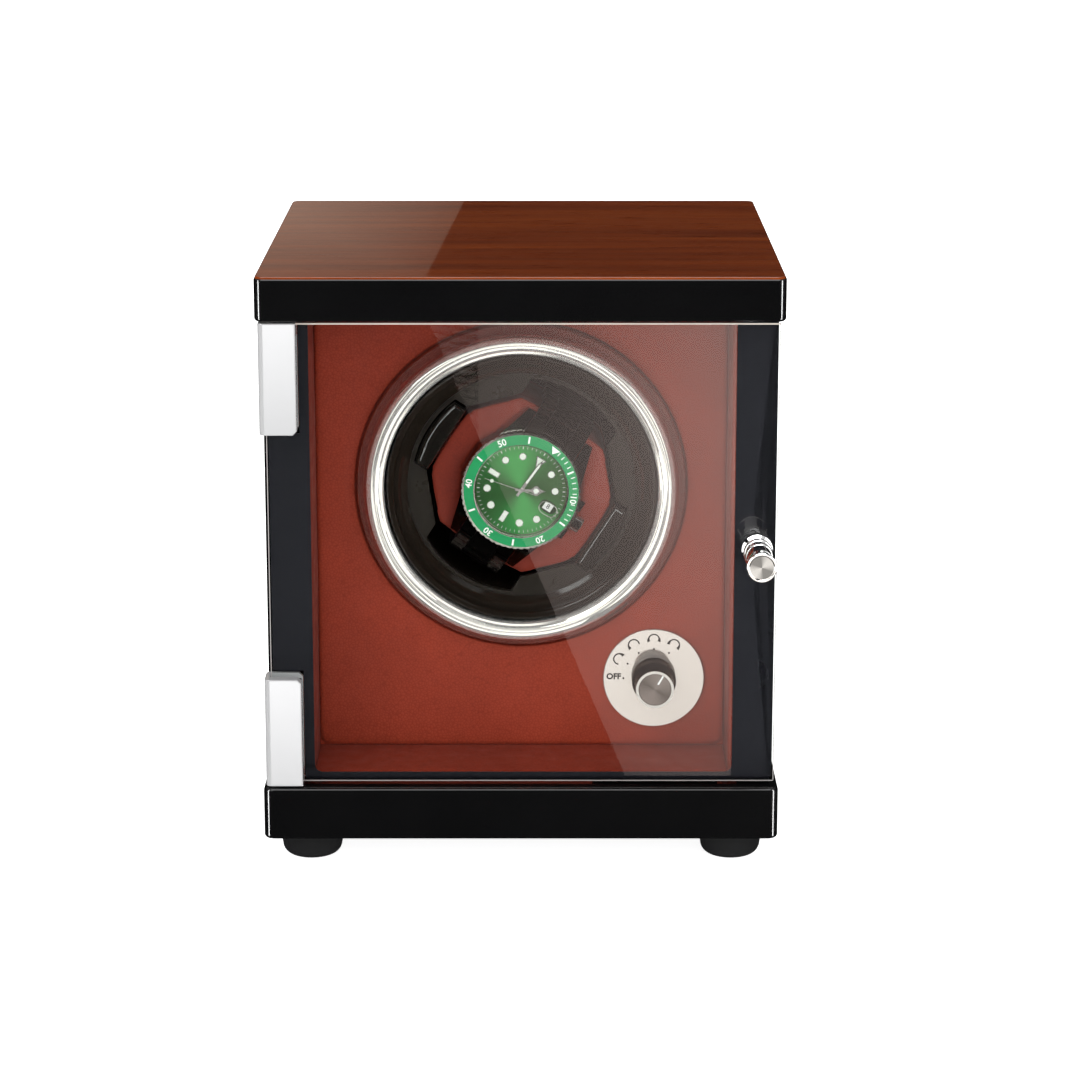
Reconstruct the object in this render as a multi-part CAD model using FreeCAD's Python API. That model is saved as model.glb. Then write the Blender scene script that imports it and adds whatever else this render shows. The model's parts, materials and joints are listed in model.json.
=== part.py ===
"""Single watch winder box: lacquered cabinet, glass door on pivot clamps, belt-driven drum with a
watch pillow, mode selector and the drive and electrics behind the face board.

Frame: millimetres, +Z up, +X to the right and -Y towards the viewer. The origin is on the plane the
feet stand on, under the middle of the whole object from the door pull's tip to the slabs' back edge.
"""
import FreeCAD
import Part
import math
import os

# --- Cabinet ------------------------------------------------------------------------------------
WIDTH = 175.0            # top and base slabs
SLAB_DEPTH = 180.0
HEIGHT = 204.0           # floor to the top veneer
FOOT_HEIGHT = 10.5
BASE_THICK = 18.0
TOP_THICK = 15.0         # slab with its veneer
VENEER_THICK = 0.8
SLAB_CORNER = 3.5        # radius of the slabs' upright corners
BODY_WIDTH = 172.0
SIDE_THICK = 12.0
SIDE_SETBACK = 13.5      # slab front to the side walls' front edges
SIDE_BACK = 175.0        # slab front to the side walls' back edges
BACK_THICK = 5.0
LINER_THICK = 3.0
LINER_END_THICK = 1.5    # floor and ceiling of the recess
LINER_SETBACK = 15.0
FOOT_R_TOP = 10.75
FOOT_R_BOTTOM = 9.0
FOOT_INSET_X = 15.3      # foot centre from the slab's side
FOOT_INSET_Y = 18.5      # foot centre from the slab's front or back
BLOCK_SIZE = 12.0
BATTEN_SIZE = 10.0

# --- Door ---------------------------------------------------------------------------------------
GLASS_SETBACK = 5.5      # slab front to the glass
GLASS_THICK = 4.0
GLASS_GAP = 1.2          # above and below the glass
MASK_THICK = 0.2         # black print behind the glass
MASK_SIDE = 14.1
MASK_END, MASK_TOP = 2.0, 0.8
CLAMP_WIDTH = 12.5
CLAMP_HEIGHT = 37.6
CLAMP_CAP = 5.0          # solid end of a clamp, in the notch of the glass
CLAMP_GAP = 0.6          # clamp to slab
CLAMP_WALL_FRONT = 4.0
CLAMP_WALL_BACK = 2.0
CLAMP_PAD = 0.5
PIVOT_FROM_EDGE = 4.0    # hinge axis from the clamp's outer face
PIVOT_SETBACK = 7.5      # hinge axis behind the slab front
PIN_R = 1.5
PULL_X, PULL_Z = 79.2, 111.2
PULL_LENGTH = 26.5       # door pull in front of the glass
PULL_R = 5.2
CATCH_Z = 66.0

# --- Drum ---------------------------------------------------------------------------------------
AXIS_Z = 124.0           # drum axis height, on x = 0
FACE_SETBACK = 45.0      # slab front to the leather face
PAD_THICK = 3.0
BOARD_THICK = 9.0
RING_R = 56.5            # chrome ring's flange
RING_BORE_R = 47.2
RING_TUBE_R = 49.5
RING_LIP = 9.2           # lip in front of the leather face
CUP_R = 46.5
CUP_LIP = 6.5            # cup's lip in front of the leather face
CUP_TAIL_R = 41.0
CUP_WELL_R = 38.0
CUP_FLOOR = 92.0         # slab front to the cup's floor
CUP_FLOOR_THICK = 3.0
SEAT_R = 39.3
SEAT_SETBACK = 44.5
SEAT_THICK = 2.5
DRUM_TURN = 33.0         # degrees the drum has stopped at, clockwise from the front

# --- Pillow and watch, upright, before DRUM_TURN -------------------------------------------------
PILLOW_HALF_X, PILLOW_FLAT_X = 30.0, 17.0
PILLOW_HALF_Z, PILLOW_FLAT_Z = 27.0, 12.5
PILLOW_FRONT, PILLOW_BACK = 43.5, 84.0
PILLOW_CLEAR = 0.8
CAP_R = 37.4
CAP_HALF_Z = 12.5
CAP_FRONT, CAP_BACK = 41.2, 80.0
CORE_R = 5.0
WATCH_R = 20.5           # rotating bezel
CASE_R = 19.5
CASE_BACK, CASE_FRONT = 45.4, 38.5
INSERT_R_IN, INSERT_R_OUT = 16.4, 19.7
BEZEL_BORE_R = 16.0
STRAP_WIDTH = 19.8
STRAP_THICK = 2.8
CROWN_SETBACK = 40.2

# --- Drive --------------------------------------------------------------------------------------
SHAFT_R = 4.0
PLATE_SETBACK = 112.0
PLATE_THICK = 3.0
PLATE_HALF_X, PLATE_HALF_Z = 60.0, 52.0
POST_X, POST_Z = 53.5, 45.0          # from the drum axis
BEARING_R, BEARING_WIDTH = 11.0, 7.0
PULLEY_SETBACK, PULLEY_WIDTH = 100.0, 7.0
DRUM_PITCH_R, MOTOR_PITCH_R = 28.0, 7.0
BELT_R, GROOVE_R = 1.5, 1.6
MOTOR_OFFSET = 32.5                  # left of and below the drum axis
MOTOR_SHAFT_R = 2.5
GEARBOX_LENGTH, MOTOR_LENGTH = 20.0, 20.0

# --- Selector and electrics ---------------------------------------------------------------------
SELECTOR_X, SELECTOR_Z = 46.3, 54.9
SELECTOR_PLATE_R = 17.7
KNOB_R_BASE, KNOB_R_TIP, KNOB_LENGTH = 7.7, 6.5, 13.8
KNOB_CAP_R = 5.7
SWITCH_R, SWITCH_DEPTH = 13.0, 12.0
JACK_X, JACK_Z = 48.0, 48.0
BOARD_X = (2.0, 52.0)
BOARD_SETBACK = (95.0, 150.0)
SCREW_R = 1.5
RUN = 0.05               # radial clearance of a running fit

# --- Worked out from the sizes above ------------------------------------------------------------
Z_BASE = FOOT_HEIGHT
Z_FLOOR = FOOT_HEIGHT + BASE_THICK
Z_CEILING = HEIGHT - TOP_THICK
HALF_W = WIDTH / 2
HALF_BODY = BODY_WIDTH / 2
HALF_ROOM = HALF_BODY - SIDE_THICK
Y_SLAB = -(SLAB_DEPTH + PULL_LENGTH - GLASS_SETBACK) / 2 + PULL_LENGTH - GLASS_SETBACK
CLAMP_X0 = -HALF_BODY - 0.5
PIVOT_X = CLAMP_X0 + PIVOT_FROM_EDGE
GLASS_X0, GLASS_X1 = CLAMP_X0 + 2.0, HALF_BODY
GLASS_Z0, GLASS_Z1 = Z_FLOOR + GLASS_GAP, Z_CEILING - GLASS_GAP


def V(x, y, z):
    return FreeCAD.Vector(x, y, z)


def behind(depth):
    """Y of a plane so far behind the slabs' front face."""
    return Y_SLAB + depth


# --- Shape helpers ------------------------------------------------------------------------------
def block(x0, x1, y0, y1, z0, z1):
    return Part.makeBox(x1 - x0, y1 - y0, z1 - z0, V(x0, y0, z0))


def rod_y(r, x, z, y0, y1):
    return Part.makeCylinder(r, y1 - y0, V(x, y0, z), V(0, 1, 0))


def rod_z(r, x, y, z0, z1):
    return Part.makeCylinder(r, z1 - z0, V(x, y, z0), V(0, 0, 1))


def rod_x(r, y, z, x0, x1):
    return Part.makeCylinder(r, x1 - x0, V(x0, y, z), V(1, 0, 0))


def tube_y(r_out, r_in, x, z, y0, y1):
    return rod_y(r_out, x, z, y0, y1).cut(rod_y(r_in, x, z, y0, y1))


def hexagon_y(across, x, z, y0, y1):
    r = across / 2 / math.cos(math.radians(30))
    corners = [V(x + r * math.cos(math.radians(60 * i)), y0, z + r * math.sin(math.radians(60 * i)))
               for i in range(7)]
    return Part.Face(Part.makePolygon(corners)).extrude(V(0, y1 - y0, 0))


def outline(start, *steps):
    """Closed face in the XY plane. A step is a point for a straight side, or (point on it, end) for an arc."""
    edges, here = [], start
    for step in steps + (start,):
        if isinstance(step[0], tuple):
            middle, end = step
            edges.append(Part.Arc(V(*here, 0), V(*middle, 0), V(*end, 0)).toShape())
        else:
            end = step
            edges.append(Part.makeLine(V(*here, 0), V(*end, 0)))
        here = end
    return Part.Face(Part.Wire(edges))


def turned_y(face, x, z):
    """Solid turned from a face of (radius, y) points about the Y axis, then moved to x, z."""
    solid = face.revolve(V(0, 0, 0), V(0, 1, 0), 360)
    solid.translate(V(x, 0, z))
    return solid


def turned_z(face, x, y):
    """Solid turned from a face of (radius, z) points about the Z axis, then moved to x, y."""
    solid = face.revolve(V(0, 0, 0), V(0, 1, 0), 360)
    solid.rotate(V(0, 0, 0), V(1, 0, 0), 90)
    solid.translate(V(x, y, 0))
    return solid


def prism_y(points, y0, y1):
    """Straight-sided prism along Y over (x, z) points."""
    corners = [V(x, y0, z) for x, z in points]
    return Part.Face(Part.makePolygon(corners + corners[:1])).extrude(V(0, y1 - y0, 0))


def edges_along(shape, direction):
    """Straight edges parallel to a direction."""
    found = []
    for edge in shape.Edges:
        if isinstance(edge.Curve, Part.Line) and abs(edge.Curve.Direction.dot(direction)) > 0.999:
            found.append(edge)
    return found


def edges_at(shape, pick):
    """Edges all of whose sampled points satisfy pick(point)."""
    found = []
    for edge in shape.Edges:
        if all(pick(p) for p in edge.discretize(5)):
            found.append(edge)
    return found


def near(a, b):
    return abs(a - b) < 1e-4


def grouped(solids):
    return Part.makeCompound(list(solids))


def turned_drum(shape):
    """Turns what rides on the drum from upright to where the drum has stopped."""
    placed = shape.copy()
    placed.rotate(V(0, 0, AXIS_Z), V(0, 1, 0), DRUM_TURN)
    return placed


def corners4(half_x, half_z, x=0.0, z=AXIS_Z):
    return [(x + sx * half_x, z + sz * half_z) for sx in (-1, 1) for sz in (-1, 1)]


def lead(points, r):
    """Round lead along straight runs joined by tangent arcs."""
    points = [V(*p) for p in points]
    edges, here = [], points[0]
    for a, b, c in zip(points, points[1:], points[2:]):
        into, out = (b - a), (c - b)
        turn = into.getAngle(out)
        reach = 0.45 * min(into.Length, out.Length)
        into.normalize()
        out.normalize()
        start, end = b - into * reach, b + out * reach
        radius = reach / math.tan(turn / 2)
        inward = out - into
        inward.normalize()
        middle = b + inward * (radius / math.cos(turn / 2) - radius)
        edges.append(Part.makeLine(here, start))
        edges.append(Part.Arc(start, middle, end).toShape())
        here = end
    edges.append(Part.makeLine(here, points[-1]))
    path = Part.Wire(edges)
    first = points[1] - points[0]
    section = Part.Wire([Part.Circle(points[0], first, r).toShape()])
    return path.makePipeShell([section], True, False)


# --- Positions shared by several pieces -----------------------------------------------------------
FEET = [(sx * (HALF_W - FOOT_INSET_X), y)
        for sx in (-1, 1)
        for y in (behind(FOOT_INSET_Y), behind(SLAB_DEPTH - FOOT_INSET_Y))]
BACK_BLOCKS = [(sx * (HALF_ROOM - BLOCK_SIZE / 2), z)
               for sx in (-1, 1)
               for z in (Z_FLOOR + BLOCK_SIZE / 2, Z_CEILING - BLOCK_SIZE / 2)]
BATTEN_SCREWS = [(sx * (HALF_ROOM - BATTEN_SIZE / 2), z) for sx in (-1, 1) for z in (79.0, 169.0)]
POSTS = corners4(POST_X, POST_Z)
HUB_SCREWS = [(9.0 * math.cos(math.radians(a)), AXIS_Z + 9.0 * math.sin(math.radians(a)))
              for a in (90, 210, 330)]
MOTOR_X, MOTOR_Z = -MOTOR_OFFSET, AXIS_Z - MOTOR_OFFSET
GEARBOX_SCREWS = [(MOTOR_X - 13.0, MOTOR_Z), (MOTOR_X + 13.0, MOTOR_Z)]
BOARD_SCREWS = [(x, behind(d)) for x in (BOARD_X[0] + 4, BOARD_X[1] - 4)
                for d in (BOARD_SETBACK[0] + 4, BOARD_SETBACK[1] - 4)]


# --- Cabinet pieces -------------------------------------------------------------------------------
def slab(z0, z1):
    body = block(-HALF_W, HALF_W, behind(0), behind(SLAB_DEPTH), z0, z1)
    return body.makeFillet(SLAB_CORNER, edges_along(body, V(0, 0, 1)))


def bush_hole(z0, z1):
    return rod_z(3.0, PIVOT_X, behind(PIVOT_SETBACK), z0, z1)


def top_slab():
    z1 = HEIGHT - VENEER_THICK
    body = slab(Z_CEILING, z1)
    body = body.makeFillet(1.2, edges_at(body, lambda p: near(p.z, Z_CEILING)))
    body = body.makeChamfer(0.35, edges_at(body, lambda p: near(p.z, z1)))
    return body.cut(bush_hole(Z_CEILING, Z_CEILING + 8))


def top_veneer():
    inset = 0.35
    body = block(-HALF_W + inset, HALF_W - inset, behind(inset), behind(SLAB_DEPTH - inset),
                 HEIGHT - VENEER_THICK, HEIGHT)
    body = body.makeFillet(SLAB_CORNER - inset, edges_along(body, V(0, 0, 1)))
    return body.makeFillet(0.4, edges_at(body, lambda p: near(p.z, HEIGHT)))


def base_slab():
    body = slab(Z_BASE, Z_FLOOR)
    body = body.makeFillet(1.2, edges_at(body, lambda p: near(p.z, Z_BASE) or near(p.z, Z_FLOOR)))
    body = body.cut(bush_hole(Z_FLOOR - 8, Z_FLOOR))
    for x, y in FEET:
        body = body.cut(rod_z(1.9, x, y, Z_BASE, Z_BASE + 12))
    for x, y in BOARD_SCREWS:
        body = body.cut(rod_z(SCREW_R, x, y, Z_FLOOR - 8, Z_FLOOR))
    return body


def side(sign):
    x0, x1 = sorted((sign * HALF_ROOM, sign * HALF_BODY))
    body = block(x0, x1, behind(SIDE_SETBACK), behind(SIDE_BACK), Z_FLOOR, Z_CEILING)
    outer = edges_at(body, lambda p: near(abs(p.x), HALF_BODY))
    body = body.makeFillet(0.8, [e for e in outer if abs(e.tangentAt(e.FirstParameter).z) > 0.9])
    if sign > 0:
        body = body.cut(rod_y(4.0, PULL_X, CATCH_Z, behind(SIDE_SETBACK), behind(17.0)))
    return body


def back_panel():
    y0, y1 = behind(SIDE_BACK - BACK_THICK), behind(SIDE_BACK)
    body = block(-HALF_ROOM, HALF_ROOM, y0, y1, Z_FLOOR, Z_CEILING)
    for x, z in BACK_BLOCKS:
        body = body.cut(rod_y(SCREW_R, x, z, y0, y1))
    return body.cut(rod_y(5.5, JACK_X, JACK_Z, y0, y1))


def glue_blocks():
    """Corner blocks for the back panel and upright battens behind the face board."""
    pieces = []
    y1 = behind(SIDE_BACK - BACK_THICK)
    half = BLOCK_SIZE / 2
    for x, z in BACK_BLOCKS:
        body = block(x - half, x + half, y1 - BLOCK_SIZE, y1, z - half, z + half)
        pieces.append(body.cut(rod_y(SCREW_R, x, z, y1 - 9, y1)))
    y0 = behind(FACE_SETBACK + PAD_THICK + BOARD_THICK)
    for sign in (-1, 1):
        x0, x1 = sorted((sign * HALF_ROOM, sign * (HALF_ROOM - BATTEN_SIZE)))
        body = block(x0, x1, y0, y0 + BATTEN_SIZE, 49.0, 179.0)
        for x, z in BATTEN_SCREWS:
            if x * sign > 0:
                body = body.cut(rod_y(SCREW_R, x, z, y0, y0 + BATTEN_SIZE))
        pieces.append(body)
    return grouped(pieces)


def pan_screw(x, z, y_head, shank, toward):
    """Pan-head screw along Y. The head stands on y_head and the shank runs the other way."""
    head = turned_y(outline((0, 0), (3.0, 0), (3.0, 1.0), ((2.2, 1.75), (0, 2.1))), 0, 0)
    drive = block(-0.4, 0.4, 1.3, 2.2, -1.8, 1.8).fuse(block(-1.8, 1.8, 1.3, 2.2, -0.4, 0.4))
    body = head.cut(drive).fuse(rod_y(SCREW_R, 0, 0, -shank, 0))
    if toward < 0:
        body.rotate(V(0, 0, 0), V(1, 0, 0), 180)
    body.translate(V(x, y_head, z))
    return body


def pan_screws():
    """Screws of the back panel, of the battens, of the posts and, from the front, of the gearbox."""
    pieces = [pan_screw(x, z, behind(SIDE_BACK), 14.0, 1) for x, z in BACK_BLOCKS]
    y_batten = behind(FACE_SETBACK + PAD_THICK + BOARD_THICK + BATTEN_SIZE)
    pieces += [pan_screw(x, z, y_batten, 16.0, 1) for x, z in BATTEN_SCREWS]
    pieces += [pan_screw(x, z, behind(PLATE_SETBACK + PLATE_THICK), 9.0, 1) for x, z in POSTS]
    pieces += [pan_screw(x, z, behind(PLATE_SETBACK), 8.0, -1) for x, z in GEARBOX_SCREWS]
    return grouped(pieces)


def feet():
    profile = outline((4.2, 0), (FOOT_R_BOTTOM - 2.5, 0),
                      ((FOOT_R_BOTTOM + 0.1, 1.1), (FOOT_R_TOP - 0.5, 3.6)),
                      ((FOOT_R_TOP - 0.1, 6.2), (FOOT_R_TOP, FOOT_HEIGHT)),
                      (1.9, FOOT_HEIGHT), (1.9, 4.6), (4.2, 4.6))
    return grouped(turned_z(profile, x, y) for x, y in FEET)


def foot_screws():
    def screw(x, y):
        head = rod_z(3.8, x, y, 2.4, 4.6).cut(block(x - 2.6, x + 2.6, y - 0.45, y + 0.45, 2.4, 3.2))
        return head.fuse(rod_z(1.9, x, y, 4.6, Z_BASE + 12))
    return grouped(screw(x, y) for x, y in FEET)


# --- Lining and face ------------------------------------------------------------------------------
def liner_sides():
    y0, y1 = behind(LINER_SETBACK), behind(FACE_SETBACK + PAD_THICK)
    inner = HALF_ROOM - LINER_THICK
    return grouped(block(*sorted((s * inner, s * HALF_ROOM)), y0, y1, Z_FLOOR, Z_CEILING) for s in (-1, 1))


def liner_ends():
    y0, y1 = behind(LINER_SETBACK), behind(FACE_SETBACK + PAD_THICK)
    inner = HALF_ROOM - LINER_THICK
    return grouped(block(-inner, inner, y0, y1, z0, z0 + LINER_END_THICK)
                   for z0 in (Z_FLOOR, Z_CEILING - LINER_END_THICK))


def face_pad():
    inner = HALF_ROOM - LINER_THICK
    y0, y1 = behind(FACE_SETBACK), behind(FACE_SETBACK + PAD_THICK)
    body = block(-inner, inner, y0, y1, Z_FLOOR + LINER_END_THICK, Z_CEILING - LINER_END_THICK)
    body = body.cut(rod_y(RING_TUBE_R + 0.3, 0, AXIS_Z, y0, y1))
    return body.cut(rod_y(3.6, SELECTOR_X, SELECTOR_Z, y0, y1))


def face_board():
    y0 = behind(FACE_SETBACK + PAD_THICK)
    y1 = y0 + BOARD_THICK
    body = block(-HALF_ROOM, HALF_ROOM, y0, y1, Z_FLOOR, Z_CEILING)
    body = body.cut(rod_y(RING_TUBE_R + 0.3, 0, AXIS_Z, y0, y1))
    body = body.cut(rod_y(3.6, SELECTOR_X, SELECTOR_Z, y0, y1))
    for x, z in BATTEN_SCREWS + POSTS:
        body = body.cut(rod_y(SCREW_R, x, z, y1 - 6, y1))
    return body


# --- Ring, drum and pillow seat -------------------------------------------------------------------
def bezel_ring():
    face, back = behind(FACE_SETBACK), behind(FACE_SETBACK + PAD_THICK + BOARD_THICK + 2)
    lip = face - RING_LIP
    profile = outline((RING_BORE_R, back), (RING_TUBE_R, back), (RING_TUBE_R, face), (RING_R, face),
                      (RING_R, face - 1.0), ((54.2, face - 2.9), (53.2, lip + 1.5)), (52.9, lip + 1.0),
                      ((50.7, lip), (48.6, lip + 0.8)), (48.4, lip + 1.6), (47.7, lip + 1.7),
                      (RING_BORE_R, lip + 2.4))
    return turned_y(profile, 0, AXIS_Z)


def drum_cup():
    lip = behind(FACE_SETBACK - CUP_LIP)
    seat = behind(SEAT_SETBACK + SEAT_THICK)
    floor = behind(CUP_FLOOR)
    back = floor + CUP_FLOOR_THICK
    profile = outline((0, floor), (CUP_WELL_R - 1.5, floor), (CUP_WELL_R, floor - 1.5),
                      (CUP_WELL_R, seat), (SEAT_R + 0.1, seat), (SEAT_R + 0.1, seat - SEAT_THICK),
                      ((40.5, lip + 5.2), (42.4, lip + 3.2)), (43.6, lip + 3.0), (43.9, lip + 1.2),
                      ((45.2, lip), (CUP_R, lip + 1.2)), (CUP_R, lip + 14), (CUP_TAIL_R, lip + 22),
                      (CUP_TAIL_R, back - 1.5), (CUP_TAIL_R - 1.5, back), (0, back))
    body = turned_y(profile, 0, AXIS_Z)
    for x, z in HUB_SCREWS:
        body = body.cut(rod_y(SCREW_R, x, z, floor, back))
    return turned_drum(body)


def octagon(grow):
    hx, fx = PILLOW_HALF_X + grow, PILLOW_FLAT_X + grow / 2
    hz, fz = PILLOW_HALF_Z + grow, PILLOW_FLAT_Z + grow / 2
    ring = [(hx, fz), (fx, hz), (-fx, hz), (-hx, fz), (-hx, -fz), (-fx, -hz), (fx, -hz), (hx, -fz)]
    return [(x, AXIS_Z + z) for x, z in ring]


def pillow_seat():
    """Plate in the drum's mouth with an eight-sided opening and slots for the strap and the end caps."""
    y0 = behind(SEAT_SETBACK)
    y1 = y0 + SEAT_THICK
    hole = prism_y(octagon(PILLOW_CLEAR), y0, y1)
    hole = hole.fuse(block(-17.5, 17.5, y0, y1, AXIS_Z - SEAT_R, AXIS_Z + SEAT_R))
    hole = hole.fuse(block(-SEAT_R, SEAT_R, y0, y1, AXIS_Z - 13.2, AXIS_Z + 13.2))
    hole = hole.common(rod_y(CUP_WELL_R - 0.1, 0, AXIS_Z, y0, y1))
    return turned_drum(rod_y(SEAT_R, 0, AXIS_Z, y0, y1).cut(hole))


def drum_shaft():
    y0 = behind(CUP_FLOOR + CUP_FLOOR_THICK)
    flange = rod_y(13.0, 0, AXIS_Z, y0, y0 + 3)
    for x, z in HUB_SCREWS:
        flange = flange.cut(rod_y(SCREW_R, x, z, y0, y0 + 3))
    return turned_drum(flange.fuse(rod_y(SHAFT_R, 0, AXIS_Z, y0 + 3, behind(124))))


def hub_screws():
    return turned_drum(grouped(pan_screw(x, z, behind(CUP_FLOOR), 6.0, -1) for x, z in HUB_SCREWS))


def grooved_pulley(pitch, bore, hub, x, z, hub_end):
    """Pulley for a round belt, with a hub up to hub_end."""
    y0 = behind(PULLEY_SETBACK)
    y1 = y0 + PULLEY_WIDTH
    body = rod_y(pitch + 1.5, x, z, y0, y1).fuse(rod_y(hub, x, z, y1, hub_end))
    groove = Part.makeTorus(pitch, GROOVE_R, V(x, (y0 + y1) / 2, z), V(0, 1, 0))
    mouth = tube_y(pitch + 2, pitch, x, z, (y0 + y1) / 2 - GROOVE_R, (y0 + y1) / 2 + GROOVE_R)
    return body.cut(groove).cut(mouth).cut(rod_y(bore, x, z, y0 - 1, hub_end + 1))


def drum_pulley():
    end = behind(PLATE_SETBACK - 0.4)
    body = grooved_pulley(DRUM_PITCH_R, SHAFT_R, 8.0, 0, AXIS_Z, end)
    for a in range(6):
        angle = math.radians(60 * a + 30)
        body = body.cut(rod_y(5.0, 17.0 * math.cos(angle), AXIS_Z + 17.0 * math.sin(angle),
                              behind(PULLEY_SETBACK), behind(PULLEY_SETBACK + PULLEY_WIDTH)))
    return turned_drum(body)


def bearing_inner():
    """Inner race with its balls."""
    y0 = behind(PLATE_SETBACK)
    pieces = [tube_y(5.8, SHAFT_R, 0, AXIS_Z, y0, y0 + BEARING_WIDTH)]
    for i in range(7):
        a = math.radians(360 / 7 * i)
        pieces.append(Part.makeSphere(1.65, V(7.5 * math.cos(a), y0 + BEARING_WIDTH / 2,
                                              AXIS_Z + 7.5 * math.sin(a))))
    return grouped(pieces)


def bearing_outer():
    y0 = behind(PLATE_SETBACK)
    return tube_y(BEARING_R, 9.2, 0, AXIS_Z, y0, y0 + BEARING_WIDTH)


# --- Pillow and watch -----------------------------------------------------------------------------
def pillow_cushion():
    y0, y1 = behind(PILLOW_FRONT), behind(PILLOW_BACK)
    body = prism_y(octagon(0), y0, y1)
    body = body.makeFillet(4.0, edges_at(body, lambda p: near(p.y, y0) or near(p.y, y1)))
    body = body.cut(rod_y(CASE_R + 1, 0, AXIS_Z, y0, behind(CASE_BACK + 0.1)))
    middle = (y0 + y1) / 2
    return turned_drum(body.cut(rod_x(CORE_R, middle, AXIS_Z, -PILLOW_HALF_X, PILLOW_HALF_X)))


def pillow_end_caps():
    y0, y1 = behind(CAP_FRONT), behind(CAP_BACK)
    pieces = []
    for sign in (-1, 1):
        x0, x1 = sorted((sign * (PILLOW_HALF_X + 0.3), sign * CAP_R))
        body = block(x0, x1, y0, y1, AXIS_Z - CAP_HALF_Z, AXIS_Z + CAP_HALF_Z)
        body = body.common(rod_y(CAP_R, 0, AXIS_Z, y0, y1))
        inner = sign * (PILLOW_HALF_X + 0.3)
        body = body.makeFillet(1.8, edges_at(body, lambda p: near(p.y, y0) or near(p.y, y1)))
        body = body.cut(rod_x(CORE_R - 1, (behind(PILLOW_FRONT) + behind(PILLOW_BACK)) / 2, AXIS_Z,
                              *sorted((inner, inner + sign * 3))))
        pieces.append(body)
    return turned_drum(grouped(pieces))


def pillow_core():
    middle = (behind(PILLOW_FRONT) + behind(PILLOW_BACK)) / 2
    end = PILLOW_HALF_X + 0.3
    bar = rod_x(CORE_R, middle, AXIS_Z, -PILLOW_HALF_X, PILLOW_HALF_X)
    return turned_drum(bar.fuse(rod_x(CORE_R - 1, middle, AXIS_Z, -end - 3, end + 3)))


def watch_case():
    """Case with its four lugs, crown guards and crown."""
    y0, y1 = behind(CASE_FRONT), behind(CASE_BACK)
    body = rod_y(CASE_R, 0, AXIS_Z, y0, y1)
    body = body.makeFillet(1.5, edges_at(body, lambda p: near(p.y, y1)))
    for sx in (-1, 1):
        for sz in (-1, 1):
            body = body.fuse(lug(sx, sz, y0, y1))
    for sz in (-1, 1):
        z0, z1 = sorted((sz * 3.8, sz * 7.6))
        body = body.fuse(block(16.0, 21.5, y0 + 2.2, y1 - 2.4, AXIS_Z + z0, AXIS_Z + z1))
    crown_y = behind(CROWN_SETBACK)
    stem = rod_x(1.1, crown_y, AXIS_Z, CASE_R - 0.3, 21.0)
    crown = rod_x(3.0, crown_y, AXIS_Z, 21.0, 24.4)
    crown = crown.makeFillet(0.5, edges_at(crown, lambda p: near(p.x, 24.4)))
    return turned_drum(body.removeSplitter().fuse(stem.fuse(crown)))


def lug(sx, sz, y0, y1):
    """Lug that narrows towards its tip and whose top slopes back."""
    plan = [(10.2, 10.0), (16.7, 10.0), (16.2, 13.8), (12.8, 25.2), (10.2, 25.2)]
    body = prism_y([(sx * x, AXIS_Z + sz * z) for x, z in plan], y0, y1)
    side = [(10.0, y0 + 0.6), (19.0, y0 + 1.4), (25.2, y0 + 2.6), (25.2, y1 - 2.2), (10.0, y1 - 2.2)]
    corners = [V(-20, y, AXIS_Z + sz * z) for z, y in side]
    return body.common(Part.Face(Part.makePolygon(corners + corners[:1])).extrude(V(40, 0, 0)))


def watch_bezel():
    y1 = behind(CASE_FRONT)
    y0 = y1 - 2.6
    body = tube_y(WATCH_R, BEZEL_BORE_R, 0, AXIS_Z, y0, y1)
    notch_count = 60
    for i in range(notch_count):
        a = math.radians(360 / notch_count * i)
        body = body.cut(rod_y(0.55, (WATCH_R + 0.25) * math.cos(a), AXIS_Z + (WATCH_R + 0.25) * math.sin(a),
                              y0 - 1, y1 + 1))
    return turned_drum(body)


def watch_insert():
    y1 = behind(CASE_FRONT) - 2.6
    profile = outline((INSERT_R_IN, y1), (INSERT_R_IN, y1 - 0.9), (INSERT_R_OUT, y1 - 0.35), (INSERT_R_OUT, y1))
    return turned_drum(turned_y(profile, 0, AXIS_Z))


def watch_crystal():
    y1 = behind(36.4)
    profile = outline((0, y1), (15.9, y1), (15.9, y1 - 1.5), (15.3, y1 - 2.0), (0, y1 - 2.0))
    return turned_drum(turned_y(profile, 0, AXIS_Z))


def watch_dial():
    return turned_drum(rod_y(15.8, 0, AXIS_Z, behind(38.1), behind(CASE_FRONT)))


def watch_hands():
    """Hour, minute and second hands on their centre post."""
    def hand(length, tail, width, depth, angle):
        plate = prism_y([(-width / 2, -tail), (width / 2, -tail), (width / 2, length * 0.82),
                         (0, length), (-width / 2, length * 0.82)], behind(depth), behind(depth + 0.18))
        plate.rotate(V(0, 0, 0), V(0, 1, 0), angle)
        plate.translate(V(0, 0, AXIS_Z))
        return plate
    post = rod_y(0.7, 0, AXIS_Z, behind(36.6), behind(38.1))
    # Angles clockwise from twelve: a few minutes past two.
    hour = hand(8.0, 1.6, 1.7, 37.5, 64.0)
    minute = hand(12.6, 2.0, 1.25, 37.15, 8.0)
    second = hand(13.4, 4.0, 0.4, 36.8, 255.0)
    for plate in (hour, minute, second):
        post = post.fuse(plate)
    return turned_drum(post)


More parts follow.
